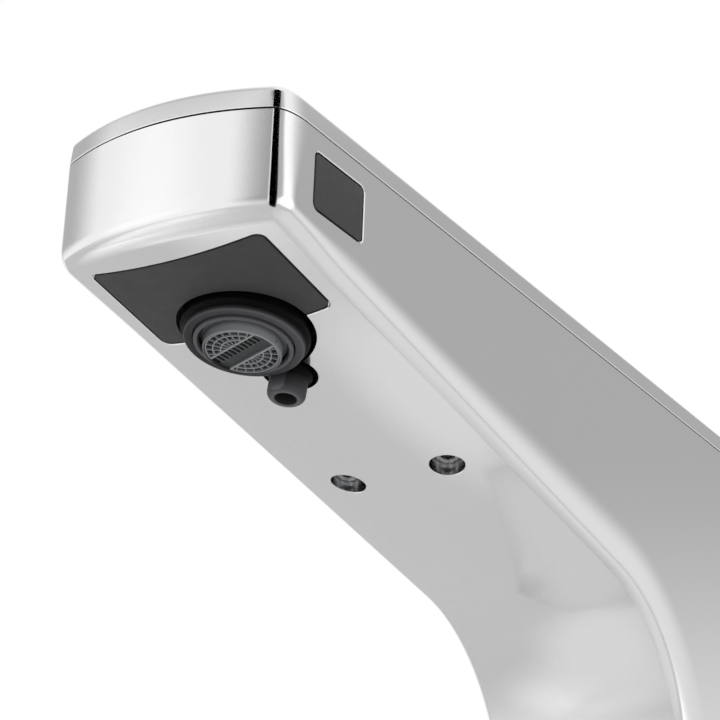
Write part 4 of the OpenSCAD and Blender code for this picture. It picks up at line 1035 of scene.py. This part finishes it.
    def web(self, out, low):
        """Arcs and spokes on both sides of two straight ribs, and a comb and a strip between the ribs. A
        bar is a path in the plane, a width and how deep it is sunk."""
        half, w, deep, outer = out.rib_gap / 2, out.bar, 0.0012, out.web - 0.0002
        bars = []
        for radius in (0.36 * out.web, 0.57 * out.web, 0.78 * out.web, outer):
            start = math.asin(min(half / radius, 1))
            for side in (0, math.pi):
                a = np.linspace(side + start, side + math.pi - start, 49)
                bars.append((stacked(radius * np.cos(a), radius * np.sin(a)), w, 0.0))
        for a in np.arange(out.spokes) * 2 * math.pi / out.spokes:
            if abs(math.sin(a)) * outer > half:
                way = np.array([math.cos(a), math.sin(a)])
                bars.append((np.array([half / abs(way[1]), outer])[:, None] * way, w, PLAY))
        reach = math.sqrt(outer**2 - half**2)
        for side in (-half, half):
            bars.append((np.array([(-reach, side), (reach, side)]), 1.8 * w, 0.0))
        for k in range(out.teeth):
            x = (k - (out.teeth - 1) / 2) * 2 * out.web / (out.teeth + 1)
            bars.append((np.array([(x, -half), (x, PLAY)]), w, 0.0003))
        strip = reach + 0.0008
        bars.append((np.array([(-strip, half / 2), (strip, half / 2)]), half, 0.0005))
        shapes = [self.bar(path, width, low + sunk, low + deep) for path, width, sunk in bars]
        shape = joined(*shapes, cylinder(outer, low + deep, low + deep + PLAY, 64))
        # Painted light and shade: a painted highlight on the bars' lowest faces, fading to painted shade
        # deeper in the web.
        height = shape[0][:, 2] - low
        painted_shading = np.interp(height, [0.0, 0.0001, 0.0003, 0.0005, 0.0007], [1.0, 0.85, 0.5, 0.2, 0.0])
        return placed(shape, Matrix.Rotation(-out.rib_turn, 4, "Z")), painted_shading

    def bar(self, path, width, low, high):
        """A bar of even width along a flat path: its section is a rectangle with turned-off lower edges."""
        along = np.gradient(path, axis=0)
        side = np.stack([-along[:, 1], along[:, 0]], 1) / np.linalg.norm(along, axis=1)[:, None]
        w, r = width / 2, min(width / 5, 0.00006)
        section = np.array([(-w, high), (-w, low + r), (r - w, low), (w - r, low), (w, low + r), (w, high)])
        x, y = np.moveaxis(path[:, None] + side[:, None] * section[None, :, :1], -1, 0)
        return drawn(stacked(x, y, section[:, 1]))


class TAP_OT_clamp(Operator):
    """Threaded shank, nut and washers under the deck"""

    bl_idname = "tap.clamp"
    bl_label = "Deck clamp"

    def execute(self, context):
        k, s = groups(context, "clamp", "casting")
        shank = make_object("shank", self.shank(k, s.foot + k.shank_head), 40)
        dress(shank, "brass", "tap", "mounting_shank")
        z, inner = -k.deck, k.shank + 2 * PLAY
        for name, node, slot, thick, r in (
            ("rubber_ring", "rubber_washer", "rubber", 0.003, 0.0006),
            ("steel_ring", "clamp_washer", "steel", 0.002, BREAK),
        ):
            profile = rounded([(inner, z - thick), (k.washer, z - thick), (k.washer, z), (inner, z)], r)
            dress(make_object(name, lathe(profile), 35), slot, "tap", node)
            z -= thick
        dress(make_object("nut", self.nut(k, z), 25), "brass", "tap", "clamp_nut")
        return {"FINISHED"}

    @staticmethod
    def shank(k, top):
        """The thread's radius falls from its crest by a rounded saw of one pitch that turns once round per
        pitch: at height z and angle a, the phase is z over the pitch less a over a full turn."""
        low, high, depth, edge = -k.shank_length, -0.0015, 0.6 * k.pitch, 0.0005
        rows = int(round((k.shank_length - k.shank_head) / k.pitch)) * 12
        z = np.linspace(low + edge, high, rows)[:, None]
        a = turns(72)
        phase = (z / k.pitch - a / (2 * np.pi)) % 1
        saw = np.clip(np.abs(2 * phase - 1) * 1.35 - 0.15, 0, 1)
        fade = ramp(np.minimum(z - low, -z), 0, 0.002)
        r = k.shank - PLAY / 2 - depth * (1 - (1 - saw) * fade)
        r_end, z_end = np.transpose(
            [(k.shank, -0.0008), (k.shank, top - BREAK), (k.shank - BREAK, top), (k.bore + BREAK, top),
             (k.bore, top - BREAK), (k.bore, low + edge), (k.bore + edge, low), (k.shank - 1.3 * depth, low)]
        )[..., None]
        ends = stacked(r_end * np.cos(a), r_end * np.sin(a), z_end)
        return looped(np.concatenate([stacked(r * np.cos(a), r * np.sin(a), z), ends]))

    @staticmethod
    def nut(k, top):
        """A hexagon whose corners are turned off at both faces: each ring's radius is the smaller of the
        hexagon's at that angle and of a cone's, outside a radius where the faces are flat."""
        bore, low, corner, rim = k.shank + PLAY / 2, top - k.nut, k.nut_corner, k.nut_face
        edge, turned, deep, flat_to = 0.0006, 0.0007, 0.0014, 0.0155

        def hexagon(r, a):
            """The half width of a flat over the cosine of the angle from its middle, if the ring is wide."""
            flat = corner * math.cos(math.pi / 6) / np.cos((a + math.pi / 6) % (math.pi / 3) - math.pi / 6)
            return np.where(r > flat_to, np.minimum(r, flat), r)

        cone = rim + 0.0012
        half = [(bore + edge, low), (rim, low), (cone, low + turned), (corner, low + deep)]
        other = [(r, low + top - z) for r, z in half[::-1]]
        return lathe(half + other + [(bore, top - edge), (bore, low + edge)], 144, hexagon)


class TAP_OT_springs(Operator):
    """The two coil springs, which in the real tap shorten as the plunger and the check valve's poppet move;
    each is wound once in its part's box
    """

    bl_idname = "tap.springs"
    bl_label = "Springs"

    def execute(self, context):
        for joint in frame["record"]["behaviour"]["joints"]:
            for soft in joint.get("deforming_nodes", ()):
                node = soft["node"]
                low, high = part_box(node)
                piece = make_object(node.replace("_spring", "_coil"), self.helix(low, high), 60)
                dress(piece, "steel", "tap", node)
                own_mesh(piece)
        return {"FINISHED"}

    @staticmethod
    def helix(low, high, count=5, wire=0.0003, steps=32):
        """A round wire wound in a box: at a share t of its length the angle is t times the turns, and the
        height is t less a sine that brings the end turns closer."""
        radius = (high.x - low.x) / 2 - wire
        t = np.linspace(0, 1, count * steps + 1)[:, None]
        a, b = 2 * np.pi * count * t, turns(10)
        height = low.z + wire + (high.z - low.z - 2 * wire) * (t - 0.5 * np.sin(2 * np.pi * t) / (2 * np.pi))
        far = radius + wire * np.cos(b)
        x, y = (low.x + high.x) / 2, (low.y + high.y) / 2
        rings = stacked(x + far * np.cos(a), y + far * np.sin(a), height + wire * np.sin(b))
        return turned_over(drawn(rings))


def facing(azimuth, elevation, distance=0.0, at=(0, -0.10, 0.10)):
    """Place of a card that faces a point from a direction, in degrees from the front towards +X and up."""
    a, e = math.radians(azimuth), math.radians(elevation)
    away = Vector((math.sin(a) * math.cos(e), -math.cos(a) * math.cos(e), math.sin(e)))
    turned = away.to_track_quat("Z", "Y").to_matrix().to_4x4()
    return Matrix.Translation(Vector(at) + away * distance) @ turned


def sheet(name, at, x, y):
    """A rectangle of half sizes x and y in a plane."""
    corners = np.array([(-x, -y, 0), (x, -y, 0), (x, y, 0), (-x, y, 0)])
    return make_object(name, placed((corners, [[0, 1, 2, 3]]), at), 0)


def card(name, at, width, height, level, hard=False):
    """A studio card that only reflections show. Its light of a level fades out towards its edges, by the
    distance from its middle, unless it is hard."""
    piece = sheet(name, at, width / 2, height / 2)
    piece.data.uv_layers.new(name="UVMap").data.foreach_set("uv", [0, 0, 1, 0, 1, 1, 0, 1])
    material = bpy.data.materials.new(name)
    material.use_nodes = True
    tree = material.node_tree
    fade = 1.0
    if not hard:
        uv = {"Location": (-1, -1, 0), "Scale": (2, 2, 0), "Vector": add_node(tree, "UVMap", "UV")}
        centred = add_node(tree, "Mapping", "Vector", uv)
        fade = add_node(tree, "TexGradient", "Fac", {"Vector": centred}, gradient_type="SPHERICAL")
        ends = {"From Min": 0.0, "From Max": 0.75, "Value": fade}
        fade = add_node(tree, "MapRange", "Result", ends, interpolation_type="SMOOTHSTEP")
    light = add_node(tree, "Emission", "Emission", {"Color": (1, 1, 1, 1), "Strength": level})
    clear = add_node(tree, "BsdfTransparent", "BSDF")
    mix = add_node(tree, "MixShader", "Shader", {"Fac": fade, 1: clear, 2: light})
    tree.links.new(mix, tree.nodes["Material Output"].inputs["Surface"])
    tree.nodes.remove(tree.nodes["Principled BSDF"])
    material.cycles.emission_sampling = "NONE"
    piece.data.materials.append(material)
    for ray in ("camera", "diffuse", "shadow", "transmission", "volume_scatter"):
        setattr(piece, "visible_" + ray, False)


class TAP_OT_stage(Operator):
    """Pale floor, plain soft light, reflection cards and the camera"""

    bl_idname = "tap.stage"
    bl_label = "Stage"

    def execute(self, context):
        scene, (st,) = context.scene, groups(context, "studio")
        scene.view_settings.view_transform = "Standard"
        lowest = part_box("mounting_shank")[0].z
        ground = lowest + 0.0002
        self.floor(st, lowest - 0.0002)
        self.world(scene, st.shade)
        for name, x, y, z, width, depth, level in (
            ("front_floor_glow", -0.22, -0.55, ground, 0.7, 1.0, 1.3),
            ("far_floor_glow", -0.8, -1.9, ground, 4.0, 3.2, 1.05),
            ("right_floor_glow", 0.32, 0.09, ground, 1.1, 1.1, 0.78),
            ("bend_glow", -0.065, -0.14, ground, 0.26, 0.20, 1.08),
            ("deck_glow", -0.015, -0.055, -0.0006, 0.11, 0.12, 0.78),
            ("deck_grey", -0.01, 0.04, -0.0012, 0.36, 0.28, 0.60),
        ):
            card(name, Matrix.Translation((x, y, z)), width, depth, level)
        for name, azimuth, elevation, distance, width, height, level in (
            ("low_glow", 156, 1, 0.9, 2.2, 0.70, 0.84),
            ("front_glow", -34, 14, 1.5, 1.6, 1.4, 1.15),
            ("left_grey", -90, 28, 1.5, 1.5, 1.6, 0.5),
            ("corner_grey", 20, 20, 1.5, 1.1, 2.0, 0.4),
            ("edge_grey", 72, 32, 1.5, 0.8, 1.4, 0.5),
            ("right_glow", 96, 12, 1.45, 1.8, 1.5, 1.35),
            ("behind_grey", -141, 30, 1.6, 2.0, 1.2, 0.55),
            ("side_grey", 156, 24, 1.5, 3.0, 2.3, 0.46),
            ("top_grey", -40, 58, 1.5, 3.0, 1.8, 0.6),
        ):
            card(name, facing(azimuth, elevation, distance), width, height, level)
        card("corner_flag", facing(56, 0, at=(0.0675, -0.227, 0.157)), 0.027, 0.11, 0.0, hard=True)
        card("lid_flag", facing(43, 45, at=(0.062, -0.238, 0.193)), 0.063, 0.019, 0.0, hard=True)
        self.camera(scene, st)
        return {"FINISHED"}

    @staticmethod
    def floor(st, z):
        """A flat pale floor under the shank that shows from above only."""
        piece = sheet("floor", Matrix.Translation((0, 0, z)), st.floor_size, st.floor_size)
        finish = Finish("floor_paper", st.floor, 0, 0.9, {"Specular IOR Level": 0.1})
        finish.tint(finish.noise(4, 2), 0.995, 1.005)
        tree = finish.tree
        under = add_node(tree, "NewGeometry", "Backfacing")
        paper, clear = finish.shader.outputs["BSDF"], add_node(tree, "BsdfTransparent", "BSDF")
        mix = add_node(tree, "MixShader", "Shader", {"Fac": under, 1: paper, 2: clear})
        tree.links.new(mix, tree.nodes["Material Output"].inputs["Surface"])
        piece.data.materials.append(finish.material)

    @staticmethod
    def world(scene, shade):
        """An even white surround, which the camera, metal and glass see as white and which lights the rest
        plainly."""
        scene.world = bpy.data.worlds.new("studio")
        scene.world.use_nodes = True
        tree = scene.world.node_tree
        rays = add_node(tree, "LightPath", "Is Camera Ray").node.outputs
        seen = rays["Is Camera Ray"]
        for ray in ("Is Glossy Ray", "Is Transmission Ray"):
            seen = add_node(tree, "Math", "Value", {0: seen, 1: rays[ray]}, operation="MAXIMUM")
        level = add_node(tree, "MapRange", "Result", {"To Min": shade, "To Max": 1.0, "Value": seen})
        back = tree.nodes["Background"].inputs
        back["Color"].default_value = (1, 1, 1, 1)
        tree.links.new(level, back["Strength"])

    @staticmethod
    def camera(scene, st):
        """The photograph's camera: it stands low in front, to the right, and looks up under the spout."""
        data = bpy.data.cameras.new("photo_camera")
        data.sensor_width, data.lens, data.clip_start = 36, st.lens, 0.01
        camera = bpy.data.objects.new("photo_camera", data)
        scene.collection.objects.link(camera)
        a, e = st.azimuth, st.elevation
        ahead = Vector((-math.sin(a) * math.cos(e), math.cos(a) * math.cos(e), math.sin(e)))
        camera.rotation_mode = "QUATERNION"
        camera.rotation_quaternion = ahead.to_track_quat("-Z", "Y") @ Quaternion((0, 0, 1), st.roll)
        camera.location = st.place
        scene.camera = camera


class TAP_PT_panel(Panel):
    """Lists the tap's pieces, sizes and colours"""

    bl_idname = "TAP_PT_panel"
    bl_label = "Sensor tap"
    bl_space_type = "VIEW_3D"
    bl_region_type = "UI"
    bl_category = "Tap"

    def draw(self, context):
        for operator in OPERATORS:
            self.layout.operator(operator.bl_idname)
        for name in GROUPS:
            group = getattr(context.scene, name)
            column = self.layout.column(align=True)
            column.label(text=name.replace("tap_", "").title())
            for key in group.__annotations__:
                column.prop(group, key)


OPERATORS = (
    TAP_OT_finishes,
    TAP_OT_inner,
    TAP_OT_casting,
    TAP_OT_lid,
    TAP_OT_windows,
    TAP_OT_outlet,
    TAP_OT_clamp,
    TAP_OT_springs,
    TAP_OT_stage,
)
GROUPS = {
    "tap_casting": CastingSizes,
    "tap_openings": OpeningSizes,
    "tap_outlet": OutletSizes,
    "tap_clamp": ClampSizes,
    "tap_finishes": Finishes,
    "tap_studio": Studio,
}


def register():
    """Registers the groups, the operators and the panel."""
    for name, group in GROUPS.items():
        bpy.utils.register_class(group)
        setattr(bpy.types.Scene, name, PointerProperty(type=group))
    for cls in OPERATORS + (TAP_PT_panel,):
        bpy.utils.register_class(cls)


def unregister():
    """Takes back what register made."""
    for cls in reversed(OPERATORS + (TAP_PT_panel,)):
        bpy.utils.unregister_class(cls)
    for name, group in GROUPS.items():
        delattr(bpy.types.Scene, name)
        bpy.utils.unregister_class(group)


def main():
    """Builds every piece and the stage."""
    register()
    for operator in OPERATORS:
        space, name = operator.bl_idname.split(".")
        getattr(getattr(bpy.ops, space), name)()


if __name__ == "__main__":
    main()
